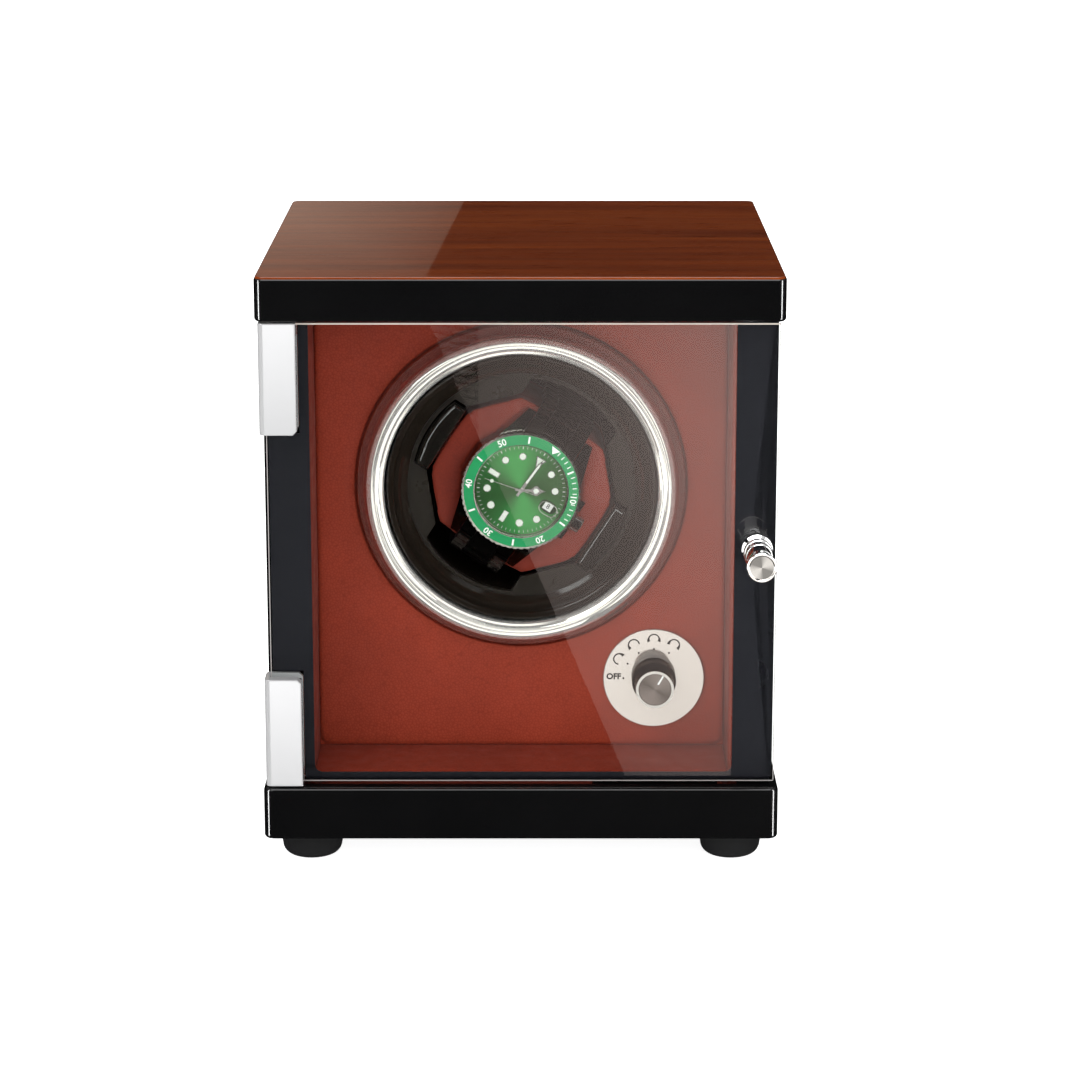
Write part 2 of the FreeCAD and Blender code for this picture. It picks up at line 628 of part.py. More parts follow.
def watch_bracelet():
    """Band round the pillow, from lug to lug behind it."""
    half = PILLOW_HALF_Z + 1.5
    front, back = behind(CASE_FRONT + 4.6), behind(PILLOW_BACK + 2.6)

    def loop(grow):
        body = block(-STRAP_WIDTH / 2, STRAP_WIDTH / 2, front - grow, back + grow,
                     AXIS_Z - half - grow, AXIS_Z + half + grow)
        return body.makeFillet(5.0 + grow, edges_along(body, V(1, 0, 0)))
    band = loop(STRAP_THICK).cut(loop(0))
    case_room = rod_y(CASE_R + 0.2, 0, AXIS_Z, front - 5, behind(CASE_BACK))
    return turned_drum(band.cut(case_room))


# --- Door -----------------------------------------------------------------------------------------
def door_glass():
    y0 = behind(GLASS_SETBACK)
    y1 = y0 + GLASS_THICK
    body = block(GLASS_X0, GLASS_X1, y0, y1, GLASS_Z0, GLASS_Z1)
    notch_x = CLAMP_X0 + CLAMP_WIDTH + 0.3
    notch_z = CLAMP_GAP + CLAMP_CAP + 0.3
    body = body.cut(block(GLASS_X0 - 1, notch_x, y0, y1, Z_CEILING - notch_z, Z_CEILING))
    body = body.cut(block(GLASS_X0 - 1, notch_x, y0, y1, Z_FLOOR, Z_FLOOR + notch_z))
    body = body.makeFillet(1.5, edges_at(body, lambda p: near(p.x, GLASS_X1) and p.y < y1 + 1
                                         and (near(p.z, GLASS_Z0) or near(p.z, GLASS_Z1))))
    body = body.makeChamfer(0.4, edges_at(body, lambda p: near(p.x, GLASS_X1) and
                                          (near(p.y, y0) or near(p.y, y1))))
    return body.cut(rod_y(2.5, PULL_X, PULL_Z, y0, y1))


def door_mask():
    """Black print on the back of the glass, round the clear window."""
    y0 = behind(GLASS_SETBACK + GLASS_THICK)
    y1 = y0 + MASK_THICK
    x0 = CLAMP_X0 + CLAMP_WIDTH + 0.3
    z0, z1 = GLASS_Z0 + 0.4, GLASS_Z1 - 0.4
    body = block(x0, GLASS_X1 - 0.5, y0, y1, z0, z1)
    lower, upper = Z_FLOOR + CLAMP_HEIGHT + 1.5, Z_CEILING - CLAMP_HEIGHT - 1.5
    body = body.fuse(block(GLASS_X0 + 0.4, x0, y0, y1, lower, upper))
    window = block(GLASS_X0 + MASK_SIDE, GLASS_X1 - MASK_SIDE, y0, y1, GLASS_Z0 + MASK_END, GLASS_Z1 - MASK_TOP)
    lower_corners = [e for e in edges_along(window, V(0, 1, 0)) if near(e.Vertexes[0].Z, GLASS_Z0 + MASK_END)]
    window = window.makeFillet(2.5, lower_corners)
    return body.cut(window).cut(rod_y(3.6, PULL_X, PULL_Z, y0, y1))


def hinge_clamp(upper):
    """Slotted clamp over the glass corner, with its pivot pin."""
    y0, y1 = behind(1.0), behind(GLASS_SETBACK + GLASS_THICK + CLAMP_PAD + CLAMP_WALL_BACK)
    x0, x1 = CLAMP_X0, CLAMP_X0 + CLAMP_WIDTH
    z1 = Z_CEILING - CLAMP_GAP
    z0 = z1 - CLAMP_HEIGHT
    body = block(x0, x1, y0, y1, z0, z1)
    outer = edges_at(body, lambda p: near(p.x, x0))
    body = body.makeFillet(1.8, [e for e in outer if abs(e.tangentAt(e.FirstParameter).z) > 0.9])
    corner = edges_at(body, lambda p: near(p.x, x1) and near(p.z, z0))
    body = body.makeChamfer(1.4, corner)
    body = body.makeFillet(0.4, edges_at(body, lambda p: near(p.y, y0)))
    slot_y0 = behind(GLASS_SETBACK - CLAMP_PAD)
    slot_y1 = behind(GLASS_SETBACK + GLASS_THICK + CLAMP_PAD)
    body = body.cut(block(GLASS_X0 - 0.3, x1 + 1, slot_y0, slot_y1, z0 - 1, z1 - CLAMP_CAP))
    for z in (z0 + 9, z1 - 12):
        body = body.cut(rod_y(SCREW_R, x0 + 7.5, z, slot_y1, y1))
    body = body.fuse(rod_z(PIN_R, PIVOT_X, behind(PIVOT_SETBACK), z1 - 2, z1 + 7))
    if not upper:
        body.rotate(V(0, 0, (Z_FLOOR + Z_CEILING) / 2), V(0, 1, 0), 180)
        body = body.mirror(V(0, 0, 0), V(1, 0, 0))
    return body


def clamp_pads():
    pieces = []
    x0, x1 = GLASS_X0, CLAMP_X0 + CLAMP_WIDTH - 0.5
    top = Z_CEILING - CLAMP_GAP - CLAMP_CAP - 0.8
    for z0, z1 in ((top - 30, top), (Z_FLOOR + Z_CEILING - top, Z_FLOOR + Z_CEILING - top + 30)):
        front, back = behind(GLASS_SETBACK), behind(GLASS_SETBACK + GLASS_THICK)
        pieces.append(block(x0, x1, front - CLAMP_PAD, front, z0, z1))
        pieces.append(block(x0, x1, back, back + CLAMP_PAD, z0, z1))
    return grouped(pieces)


def clamp_screws():
    y1 = behind(GLASS_SETBACK + GLASS_THICK + CLAMP_PAD + CLAMP_WALL_BACK)
    top = Z_CEILING - CLAMP_GAP
    upper = (top - CLAMP_HEIGHT + 9, top - 12)
    pieces = []
    for z in upper + tuple(Z_FLOOR + Z_CEILING - z for z in upper):
        body = rod_y(SCREW_R, CLAMP_X0 + 7.5, z, y1 - CLAMP_WALL_BACK, y1)
        pieces.append(body.cut(hexagon_y(1.5, CLAMP_X0 + 7.5, z, y1 - 1.2, y1)))
    return grouped(pieces)


def hinge_bushes():
    y = behind(PIVOT_SETBACK)
    return grouped(rod_z(3.0, PIVOT_X, y, z0, z0 + 8).cut(rod_z(PIN_R + RUN, PIVOT_X, y, z0, z0 + 8))
                   for z0 in (Z_CEILING, Z_FLOOR - 8))


def door_pull():
    glass = behind(GLASS_SETBACK)
    tip = glass - PULL_LENGTH
    profile = outline((0, tip + 0.5), (3.9, tip + 0.5), (4.3, tip), (4.7, tip), (4.95, tip + 0.3),
                      (4.95, tip + 1.4), ((4.6, tip + 3.6), (4.15, tip + 7.0)),
                      ((3.85, tip + 11.0), (4.2, tip + 14.6)), ((4.75, tip + 15.9), (4.2, tip + 17.2)),
                      ((4.0, tip + 18.4), (4.3, tip + 19.6)), ((4.95, tip + 20.9), (4.3, tip + 22.2)),
                      (4.1, glass - 2.6), (PULL_R, glass - 1.6), (PULL_R, glass - 0.3), (PULL_R - 0.3, glass),
                      (2.0, glass), (2.0, glass - 9), (0, glass - 9))
    return turned_y(profile, PULL_X, PULL_Z)


def pull_screw():
    back = behind(GLASS_SETBACK + GLASS_THICK)
    washer_r, washer = 3.5, 0.5
    head = rod_y(3.2, PULL_X, PULL_Z, back + washer, back + washer + 1.8)
    cross = block(-0.4, 0.4, 0, 1.0, -1.8, 1.8).fuse(block(-1.8, 1.8, 0, 1.0, -0.4, 0.4))
    cross.translate(V(PULL_X, back + washer + 0.8, PULL_Z))
    shank = rod_y(2.0, PULL_X, PULL_Z, behind(GLASS_SETBACK) - 8.5, back + washer)
    washer_ring = tube_y(washer_r, 2.0, PULL_X, PULL_Z, back, back + washer)
    return grouped([head.cut(cross).fuse(shank), washer_ring])


def catch_magnet():
    return rod_y(4.0, PULL_X, CATCH_Z, behind(11.4), behind(17.0))


def catch_strike():
    y0 = behind(GLASS_SETBACK + GLASS_THICK + MASK_THICK)
    return rod_y(5.0, PULL_X, CATCH_Z, y0, y0 + 1.0)


# --- Drive ----------------------------------------------------------------------------------------
def drive_plate():
    y0, y1 = behind(PLATE_SETBACK), behind(PLATE_SETBACK + PLATE_THICK)
    body = block(-PLATE_HALF_X, PLATE_HALF_X, y0, y1, AXIS_Z - PLATE_HALF_Z, AXIS_Z + PLATE_HALF_Z)
    body = body.makeFillet(6.0, edges_along(body, V(0, 1, 0)))
    body = body.fuse(rod_y(15.0, 0, AXIS_Z, y1, y0 + BEARING_WIDTH))
    body = body.cut(rod_y(BEARING_R, 0, AXIS_Z, y0, y0 + BEARING_WIDTH))
    body = body.cut(rod_y(4.0, MOTOR_X, MOTOR_Z, y0, y1))
    for x, z in POSTS + GEARBOX_SCREWS:
        body = body.cut(rod_y(SCREW_R, x, z, y0, y1))
    return body


def plate_posts():
    y0, y1 = behind(FACE_SETBACK + PAD_THICK + BOARD_THICK), behind(PLATE_SETBACK)
    pieces = []
    for x, z in POSTS:
        body = hexagon_y(8.0, x, z, y0, y1).cut(rod_y(SCREW_R, x, z, y1 - 8, y1))
        pieces.append(body.fuse(rod_y(SCREW_R, x, z, y0 - 6, y0)))
    return grouped(pieces)


def gearbox():
    y0 = behind(PLATE_SETBACK + PLATE_THICK)
    y1 = y0 + GEARBOX_LENGTH
    body = block(MOTOR_X - 17, MOTOR_X + 17, y0, y1, MOTOR_Z - 12, MOTOR_Z + 12)
    body = body.makeFillet(2.0, edges_along(body, V(0, 1, 0)))
    body = body.cut(rod_y(MOTOR_SHAFT_R + RUN, MOTOR_X, MOTOR_Z, y0, y0 + 8))
    for x, z in GEARBOX_SCREWS:
        body = body.cut(rod_y(SCREW_R, x, z, y0, y0 + 6))
    return body


def motor_can():
    y0 = behind(PLATE_SETBACK + PLATE_THICK + GEARBOX_LENGTH)
    body = rod_y(11.5, MOTOR_X, MOTOR_Z, y0, y0 + MOTOR_LENGTH)
    return body.fuse(rod_y(4.0, MOTOR_X, MOTOR_Z, y0 + MOTOR_LENGTH, y0 + MOTOR_LENGTH + 2))


def motor_shaft():
    return rod_y(MOTOR_SHAFT_R, MOTOR_X, MOTOR_Z, behind(PULLEY_SETBACK - 1), behind(PLATE_SETBACK + 10))


def motor_pulley():
    return grooved_pulley(MOTOR_PITCH_R, MOTOR_SHAFT_R, 4.5, MOTOR_X, MOTOR_Z, behind(110))


def drive_belt():
    """Round rubber belt over both pulleys: two arcs and two tangent runs."""
    y = behind(PULLEY_SETBACK + PULLEY_WIDTH / 2)
    distance = MOTOR_OFFSET * math.sqrt(2)
    spread = math.acos((DRUM_PITCH_R - MOTOR_PITCH_R) / distance)
    toward = math.atan2(-1, -1)

    def on(x, z, r, angle):
        return V(x + r * math.cos(angle), y, z + r * math.sin(angle))
    a0, a1 = toward + spread, toward - spread
    drum0, drum1 = on(0, AXIS_Z, DRUM_PITCH_R, a0), on(0, AXIS_Z, DRUM_PITCH_R, a1)
    motor0, motor1 = on(MOTOR_X, MOTOR_Z, MOTOR_PITCH_R, a0), on(MOTOR_X, MOTOR_Z, MOTOR_PITCH_R, a1)
    far_drum = on(0, AXIS_Z, DRUM_PITCH_R, toward + math.pi)
    far_motor = on(MOTOR_X, MOTOR_Z, MOTOR_PITCH_R, toward)
    path = Part.Wire([Part.Arc(drum0, far_drum, drum1).toShape(), Part.makeLine(drum1, motor1),
                      Part.Arc(motor1, far_motor, motor0).toShape(), Part.makeLine(motor0, drum0)])
    tangent = motor0 - drum0
    section = Part.Wire([Part.Circle(drum0, tangent, BELT_R).toShape()])
    return path.makePipeShell([section], True, False)


# --- Selector and electrics -----------------------------------------------------------------------
def selector_plate():
    y1 = behind(FACE_SETBACK)
    body = rod_y(SELECTOR_PLATE_R, SELECTOR_X, SELECTOR_Z, y1 - 1, y1)
    body = body.makeFillet(0.3, edges_at(body, lambda p: near(p.y, y1 - 1)))
    return body.cut(rod_y(3.5, SELECTOR_X, SELECTOR_Z, y1 - 1, y1))


def selector_switch():
    """Rotary switch with its bushing and solder tags."""
    y0 = behind(FACE_SETBACK + PAD_THICK + BOARD_THICK)
    body = rod_y(SWITCH_R, SELECTOR_X, SELECTOR_Z, y0, y0 + SWITCH_DEPTH)
    body = body.fuse(rod_y(3.5, SELECTOR_X, SELECTOR_Z, behind(FACE_SETBACK - 3.2), y0))
    for i in range(6):
        a = math.radians(30 * i + 15)
        x, z = SELECTOR_X + 9.5 * math.cos(a), SELECTOR_Z + 9.5 * math.sin(a)
        tag = block(x - 0.8, x + 0.8, y0 + SWITCH_DEPTH, y0 + SWITCH_DEPTH + 4, z - 0.3, z + 0.3)
        body = body.fuse(tag)
    return body.cut(rod_y(3.0 + RUN, SELECTOR_X, SELECTOR_Z, behind(FACE_SETBACK - 3.2), y0 + 6))


def panel_nuts():
    """Hexagon nuts of the selector's bushing and of the power jack."""
    front = behind(FACE_SETBACK - 1)
    selector = hexagon_y(10.0, SELECTOR_X, SELECTOR_Z, front - 2, front)
    selector = selector.cut(rod_y(3.5, SELECTOR_X, SELECTOR_Z, front - 2, front))
    inside = behind(SIDE_BACK - BACK_THICK)
    jack = hexagon_y(14.0, JACK_X, JACK_Z, inside - 2.5, inside)
    jack = jack.cut(rod_y(5.5, JACK_X, JACK_Z, inside - 2.5, inside))
    return grouped([selector, jack])


def selector_shaft():
    return rod_y(3.0, SELECTOR_X, SELECTOR_Z, behind(FACE_SETBACK - 12), behind(62.5))


def selector_knob():
    """Tapered knob, hollow behind over the nut, with a recess in its tip for the cap."""
    base = behind(FACE_SETBACK - 1.6)
    tip = base - KNOB_LENGTH
    profile = outline((0, tip + 0.8), (KNOB_CAP_R, tip + 0.8), (KNOB_CAP_R, tip), (KNOB_R_TIP - 0.4, tip),
                      (KNOB_R_TIP, tip + 0.4), (KNOB_R_BASE - 0.7, base - 4.0), (KNOB_R_BASE, base - 3.6),
                      (KNOB_R_BASE, base - 0.3), (KNOB_R_BASE - 0.3, base), (6.3, base), (6.3, base - 3.4),
                      (3.0, base - 3.4), (3.0, behind(FACE_SETBACK - 12)), (0, behind(FACE_SETBACK - 12)))
    return turned_y(profile, SELECTOR_X, SELECTOR_Z)


def knob_cap():
    """Spun metal disc in the knob's tip."""
    tip = behind(FACE_SETBACK - 1.6) - KNOB_LENGTH
    profile = outline((0, tip + 0.8), (KNOB_CAP_R, tip + 0.8), (KNOB_CAP_R, tip + 0.3),
                      (KNOB_CAP_R - 0.2, tip + 0.1), (0, tip + 0.1))
    return turned_y(profile, SELECTOR_X, SELECTOR_Z)


def dc_jack():
    """Panel power socket with its centre pin and two tags."""
    out = behind(SIDE_BACK)
    deep = behind(158)
    body = rod_y(5.5, JACK_X, JACK_Z, deep, out).fuse(rod_y(7.5, JACK_X, JACK_Z, out, out + 2))
    body = body.cut(rod_y(2.9, JACK_X, JACK_Z, deep + 6, out + 2))
    body = body.fuse(rod_y(1.0, JACK_X, JACK_Z, deep + 5, out + 1))
    for sx in (-1, 1):
        body = body.fuse(block(JACK_X + sx * 3 - 0.9, JACK_X + sx * 3 + 0.9, deep - 5, deep,
                               JACK_Z - 0.3, JACK_Z + 0.3))
    return body


def control_board():
    """Circuit board with its driver chip, capacitors and plug headers."""
    z0 = Z_FLOOR + 5.0
    z1 = z0 + 1.6
    board = block(*BOARD_X, behind(BOARD_SETBACK[0]), behind(BOARD_SETBACK[1]), z0, z1)
    for x, y in BOARD_SCREWS:
        board = board.cut(rod_z(SCREW_R, x, y, z0, z1))
    pieces = [board, block(20, 32, behind(116), behind(124), z1, z1 + 1.8)]
    pieces += [rod_z(4.0, x, behind(107), z1, z1 + 11) for x in (16.0, 27.0)]
    pieces += [block(x, x + 8, behind(140), behind(146), z1, z1 + 6) for x in (12.0, 22.0, 32.0)]
    return grouped(pieces)


def board_posts():
    """Nylon spacers under the circuit board, with their screws."""
    z0, z1 = Z_FLOOR, Z_FLOOR + 5.0
    top = z1 + 1.6
    pieces = []
    for x, y in BOARD_SCREWS:
        pieces.append(rod_z(3.0, x, y, z0, z1).cut(rod_z(SCREW_R, x, y, z0, z1)))
        pieces.append(rod_z(SCREW_R, x, y, z0 - 8, top).fuse(rod_z(2.8, x, y, top, top + 1.8)))
    return grouped(pieces)


def wiring():
    """Leads from the plug headers to the motor, the selector and the power jack."""
    top = Z_FLOOR + 5.0 + 1.6 + 6
    header_y = behind(143)
    motor_end = (MOTOR_X, behind(157.2), MOTOR_Z)
    jack_end = (JACK_X - 3, behind(152.8), JACK_Z)
    switch_end = (SELECTOR_X, behind(73.2), SELECTOR_Z + 9.5)
    motor_route = [(16, header_y, top), (16, header_y, top + 14), (-4, behind(152), 66),
                   (-24, behind(163), 76), (MOTOR_X, behind(166), MOTOR_Z), motor_end]
    switch_route = [(26, header_y, top), (26, header_y, top + 14), (34, behind(122), 70),
                    (42, behind(98), 70), (SELECTOR_X, behind(84), SELECTOR_Z + 9.5), switch_end]
    jack_route = [(36, header_y, top), (36, header_y, top + 8), (JACK_X - 3, behind(147), JACK_Z), jack_end]
    return grouped(lead(route, 1.1) for route in (motor_route, switch_route, jack_route))


NODES = {
    "top_slab": top_slab,
    "top_veneer": top_veneer,
    "base_slab": base_slab,
    "side_left": lambda: side(-1),
    "side_right": lambda: side(1),
    "back_panel": back_panel,
    "glue_blocks": glue_blocks,
    "pan_screws": pan_screws,
    "feet": feet,
    "foot_screws": foot_screws,
    "liner_sides": liner_sides,
    "liner_ends": liner_ends,
    "face_pad": face_pad,
    "face_board": face_board,
    "bezel_ring": bezel_ring,
    "drum_cup": drum_cup,
    "pillow_seat": pillow_seat,
    "drum_shaft": drum_shaft,
    "hub_screws": hub_screws,
    "drum_pulley": drum_pulley,
    "bearing_inner": bearing_inner,
    "bearing_outer": bearing_outer,
    "pillow_cushion": pillow_cushion,
    "pillow_end_caps": pillow_end_caps,
    "pillow_core": pillow_core,
    "watch_case": watch_case,
    "watch_bezel": watch_bezel,
    "watch_insert": watch_insert,
    "watch_crystal": watch_crystal,
    "watch_dial": watch_dial,
    "watch_hands": watch_hands,
    "watch_bracelet": watch_bracelet,
    "door_glass": door_glass,
    "door_mask": door_mask,
    "hinge_clamp_upper": lambda: hinge_clamp(True),
    "hinge_clamp_lower": lambda: hinge_clamp(False),
    "clamp_pads": clamp_pads,
    "clamp_screws": clamp_screws,
    "hinge_bushes": hinge_bushes,
    "door_pull": door_pull,
    "pull_screw": pull_screw,
    "catch_magnet": catch_magnet,
    "catch_strike": catch_strike,
    "drive_plate": drive_plate,
    "plate_posts": plate_posts,
    "gearbox": gearbox,
    "motor_can": motor_can,
    "motor_shaft": motor_shaft,
    "motor_pulley": motor_pulley,
    "drive_belt": drive_belt,
    "selector_plate": selector_plate,
    "selector_switch": selector_switch,
    "panel_nuts": panel_nuts,
    "selector_shaft": selector_shaft,
    "selector_knob": selector_knob,
    "knob_cap": knob_cap,
    "dc_jack": dc_jack,
    "control_board": control_board,
    "board_posts": board_posts,
    "wiring": wiring,
}


def main():
    os.makedirs("parts", exist_ok=True)
    for name, make in NODES.items():
        shape = make()
        shape.exportStep(os.path.join("parts", name + ".step"))


if __name__ == "__main__":
    main()
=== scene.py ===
"""Looks of the watch winder box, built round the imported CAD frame."""
import bpy
import bmesh
import json
import math
from mathutils import Matrix, Vector


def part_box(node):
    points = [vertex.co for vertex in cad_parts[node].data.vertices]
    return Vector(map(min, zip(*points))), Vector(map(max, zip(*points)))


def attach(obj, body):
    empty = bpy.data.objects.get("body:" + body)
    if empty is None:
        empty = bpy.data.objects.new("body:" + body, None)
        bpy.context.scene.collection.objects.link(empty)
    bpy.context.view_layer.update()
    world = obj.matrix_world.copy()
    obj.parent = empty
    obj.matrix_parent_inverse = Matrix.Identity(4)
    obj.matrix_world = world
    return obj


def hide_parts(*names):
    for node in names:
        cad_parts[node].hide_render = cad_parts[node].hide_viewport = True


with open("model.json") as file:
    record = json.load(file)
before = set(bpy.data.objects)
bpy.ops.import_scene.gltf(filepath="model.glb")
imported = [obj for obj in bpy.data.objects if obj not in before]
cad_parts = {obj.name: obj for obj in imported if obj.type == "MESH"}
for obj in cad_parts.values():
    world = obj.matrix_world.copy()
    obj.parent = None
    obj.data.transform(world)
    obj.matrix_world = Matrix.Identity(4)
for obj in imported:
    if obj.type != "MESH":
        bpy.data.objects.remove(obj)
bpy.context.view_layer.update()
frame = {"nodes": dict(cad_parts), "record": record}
NODES = frame["nodes"]
MM = 0.001


def front_centre(node):
    """Centre of a node's front, as a point."""
    low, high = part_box(node)
    return Vector(((low[0] + high[0]) / 2, low[1], (low[2] + high[2]) / 2))


# Places taken from the frame, in metres
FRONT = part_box("top_slab")[0][1]
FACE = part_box("face_pad")[0][1]
RING_LOW, RING_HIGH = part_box("bezel_ring")
AXIS = Vector((0, 0, (RING_LOW[2] + RING_HIGH[2]) / 2))
PLATE_LOW, PLATE_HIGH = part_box("selector_plate")
SELECTOR = front_centre("selector_plate")
CAP = front_centre("knob_cap")
KNOB_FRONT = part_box("selector_knob")[0][1]
PULL = front_centre("door_pull")
DRUM_TURN = math.radians(33)
GLASS_ROUGH = 0.006
GLASS_IOR = 1.5
UPRIGHT = Matrix.Translation((0, FRONT, AXIS.z)) @ Matrix.Rotation(DRUM_TURN, 4, "Y")


# ---------------------------------------------------------------------------------------------
# Materials
# ---------------------------------------------------------------------------------------------
class Look:
    """A node material round one Principled shader."""

    def __init__(self, name, color, rough=0.5, metallic=0.0, **sockets):
        self.mat = bpy.data.materials.new(name)
        self.mat.use_nodes = True
        self.tree = self.mat.node_tree
        self.nodes, self.links = self.tree.nodes, self.tree.links
        self.shader = self.nodes["Principled BSDF"]
        self.out = self.nodes["Material Output"]
        self.set("Base Color", (*color, 1))
        self.set("Roughness", rough)
        self.set("Metallic", metallic)
        for key, value in sockets.items():
            self.set(key.replace("_", " "), value)
        self.coord = None
        self.height = None

    def set(self, socket, value):
        self.shader.inputs[socket].default_value = value

    def node(self, kind, **props):
        made = self.nodes.new(kind)
        for key, value in props.items():
            setattr(made, key, value)
        return made

    def link(self, a, b):
        self.links.new(a, b)

    def place(self, scale=(1, 1, 1), centre=(0, 0, 0)):
        """Object coordinates, moved so that centre is the origin, and scaled."""
        if self.coord is None:
            self.coord = self.node("ShaderNodeTexCoord")
        moved = self.node("ShaderNodeVectorMath", operation="SUBTRACT")
        self.link(self.coord.outputs["Object"], moved.inputs[0])
        moved.inputs[1].default_value = centre
        mapped = self.node("ShaderNodeMapping")
        self.link(moved.outputs[0], mapped.inputs["Vector"])
        mapped.inputs["Scale"].default_value = scale
        return mapped.outputs[0]

    def axes(self, centre=(0, 0, 0)):
        """Object coordinates from centre, one output to an axis."""
        made = self.node("ShaderNodeSeparateXYZ")
        self.link(self.place(centre=centre), made.inputs[0])
        return made.outputs

    def radius(self, centre):
        """Distance from the line through centre along Y."""
        made = self.node("ShaderNodeVectorMath", operation="LENGTH")
        self.link(self.place((1, 0, 1), centre), made.inputs[0])
        return made.outputs["Value"]

    def add(self, a, b):
        made = self.node("ShaderNodeVectorMath", operation="ADD")
        self.link(a, made.inputs[0])
        self.link(b, made.inputs[1])
        return made.outputs[0]

    def scale(self, vector, factor):
        made = self.node("ShaderNodeVectorMath", operation="SCALE")
        self.link(vector, made.inputs[0])
        made.inputs["Scale"].default_value = factor
        return made.outputs[0]

    def combine(self, **axes):
        made = self.node("ShaderNodeCombineXYZ")
        for axis, value in axes.items():
            self.link(value, made.inputs[axis])
        return made.outputs[0]

    def noise(self, vector, scale, detail=3.0, rough=0.55):
        made = self.node("ShaderNodeTexNoise")
        self.link(vector, made.inputs["Vector"])
        made.inputs["Scale"].default_value = scale
        made.inputs["Detail"].default_value = detail
        made.inputs["Roughness"].default_value = rough
        return made.outputs[0]

    def cells(self, vector, scale, feature):
        made = self.node("ShaderNodeTexVoronoi", feature=feature)
        self.link(vector, made.inputs["Vector"])
        made.inputs["Scale"].default_value = scale
        return made.outputs["Distance"]

    def math(self, operation, a, b=0.0, clamp=False):
        made = self.node("ShaderNodeMath", operation=operation, use_clamp=clamp)
        for socket, value in ((made.inputs[0], a), (made.inputs[1], b)):
            if isinstance(value, (int, float)):
                socket.default_value = value
            else:
                self.link(value, socket)
        return made.outputs[0]

    def span(self, fac, low, high, from_low=0.3, from_high=0.7):
        made = self.node("ShaderNodeMapRange")
        self.link(fac, made.inputs["Value"])
        ends = (("From Min", from_low), ("From Max", from_high), ("To Min", low), ("To Max", high))
        for name, value in ends:
            made.inputs[name].default_value = value
        return made.outputs[0]

    def ramp(self, fac, *stops):
        made = self.node("ShaderNodeValToRGB")
        self.link(fac, made.inputs["Fac"])
        band = made.color_ramp
        while len(band.elements) < len(stops):
            band.elements.new(0.5)
        for element, (position, color) in zip(band.elements, stops):
            element.position = position
            element.color = (*color, 1)
        return made.outputs["Color"]

    def mix(self, fac, a, b, blend="MIX"):
        made = self.node("ShaderNodeMix", data_type="RGBA", blend_type=blend)
        for socket, value in ((made.inputs["Factor"], fac), (made.inputs["A"], a), (made.inputs["B"], b)):
            if isinstance(value, (int, float)):
                socket.default_value = value
            elif isinstance(value, tuple):
                socket.default_value = (*value, 1)
            else:
                self.link(value, socket)
        return made.outputs["Result"]

    def color(self, socket):
        self.link(socket, self.shader.inputs["Base Color"])

    def rough(self, socket):
        self.link(socket, self.shader.inputs["Roughness"])

    def bump(self, height, strength=0.3, distance=0.0002):
        made = self.node("ShaderNodeBump")
        made.inputs["Strength"].default_value = strength
        made.inputs["Distance"].default_value = distance
        self.link(height, made.inputs["Height"])
        if self.height is not None:
            self.link(self.height, made.inputs["Normal"])
        self.height = made.outputs[0]
        self.link(self.height, self.shader.inputs["Normal"])


def tint(color, k):
    return tuple(c * k for c in color)


def plain(name, color, rough=0.4, metallic=0.0, grain=900.0, change=0.12, bump=0.05, spread=1.0,
          **sockets):
    """Moulded, painted or cast surface with a fine texture. change varies its colour and spread
    its roughness."""
    look = Look(name, color, rough, metallic, **sockets)
    where = look.place()
    wide = look.noise(where, 45.0, 3)
    look.color(look.ramp(wide, (0.3, tint(color, 1 - change)), (0.7, tint(color, 1 + change))))
    look.rough(look.span(look.noise(where, 130.0, 4), max(rough * (1 - 0.15 * spread), 0.01),
                         min(rough * (1 + 0.18 * spread), 1)))
    look.bump(look.noise(where, grain, 3), bump, 0.0001)
    return look.mat


def brushed(name, color, rough=0.28, stretch=(1, 1, 40), change=0.16, bump=0.08):
    """Metal with fine lines along one axis: stretch is small along the lines."""
    look = Look(name, color, rough, 1.0)
    lines = look.noise(look.place(tuple(s * 45 for s in stretch)), 1.0, 5, 0.65)
    look.color(look.ramp(lines, (0.25, tint(color, 1 - change)), (0.75, tint(color, 1 + change))))
    look.rough(look.span(lines, rough * 0.75, rough * 1.3))
    look.bump(lines, bump, 0.00005)
    return look.mat


def polished(name, color, rough=0.05, change=0.04):
    """Plated and polished metal with faint wipe marks."""
    look = Look(name, color, rough, 1.0)
    where = look.place()
    wide = look.noise(where, 60.0, 4)
    look.color(look.ramp(wide, (0.3, tint(color, 1 - change)), (0.7, color)))
    look.rough(look.span(look.noise(where, 220.0, 5), rough * 0.6, rough * 1.6))
    look.bump(look.noise(where, 90.0, 2), 0.02, 0.0001)
    return look.mat


def lacquer():
    """Gloss black with a clear coat and the faint waves of polished lacquer."""
    look = Look("gloss_black_lacquer", (0.0028, 0.0028, 0.003), 0.16, 0.0, Specular_IOR_Level=0.2,
                Coat_Weight=0.25, Coat_Roughness=0.03)
    where = look.place()
    look.color(look.ramp(look.noise(where, 14.0, 3), (0.3, (0.0024, 0.0024, 0.0026)),
                         (0.7, (0.0034, 0.0034, 0.0036))))
    look.rough(look.span(look.noise(where, 60.0, 5), 0.12, 0.2))
    look.bump(look.noise(where, 230.0, 2), 0.015, 0.0003)
    return look.mat


def ring_metal():
    """Polished bead with a duller flange outside it, coloured red-brown as a painted reflection of the
    leather.
    """
    # the flange colour is a painted reflection of the red leather round the ring
    chrome, flange = (0.97, 0.94, 0.91), (0.42, 0.2, 0.17)
    look = Look("ring_chrome", chrome, 0.07, 0.78)
    share = look.span(look.radius(AXIS), 0, 1, 53.0 * MM, 53.6 * MM)
    look.color(look.mix(share, chrome, flange))
    look.rough(look.span(look.noise(look.place(), 220.0, 4), 0.05, 0.1))
    look.bump(look.noise(look.place(), 90.0, 2), 0.01, 0.0001)
    return look.mat


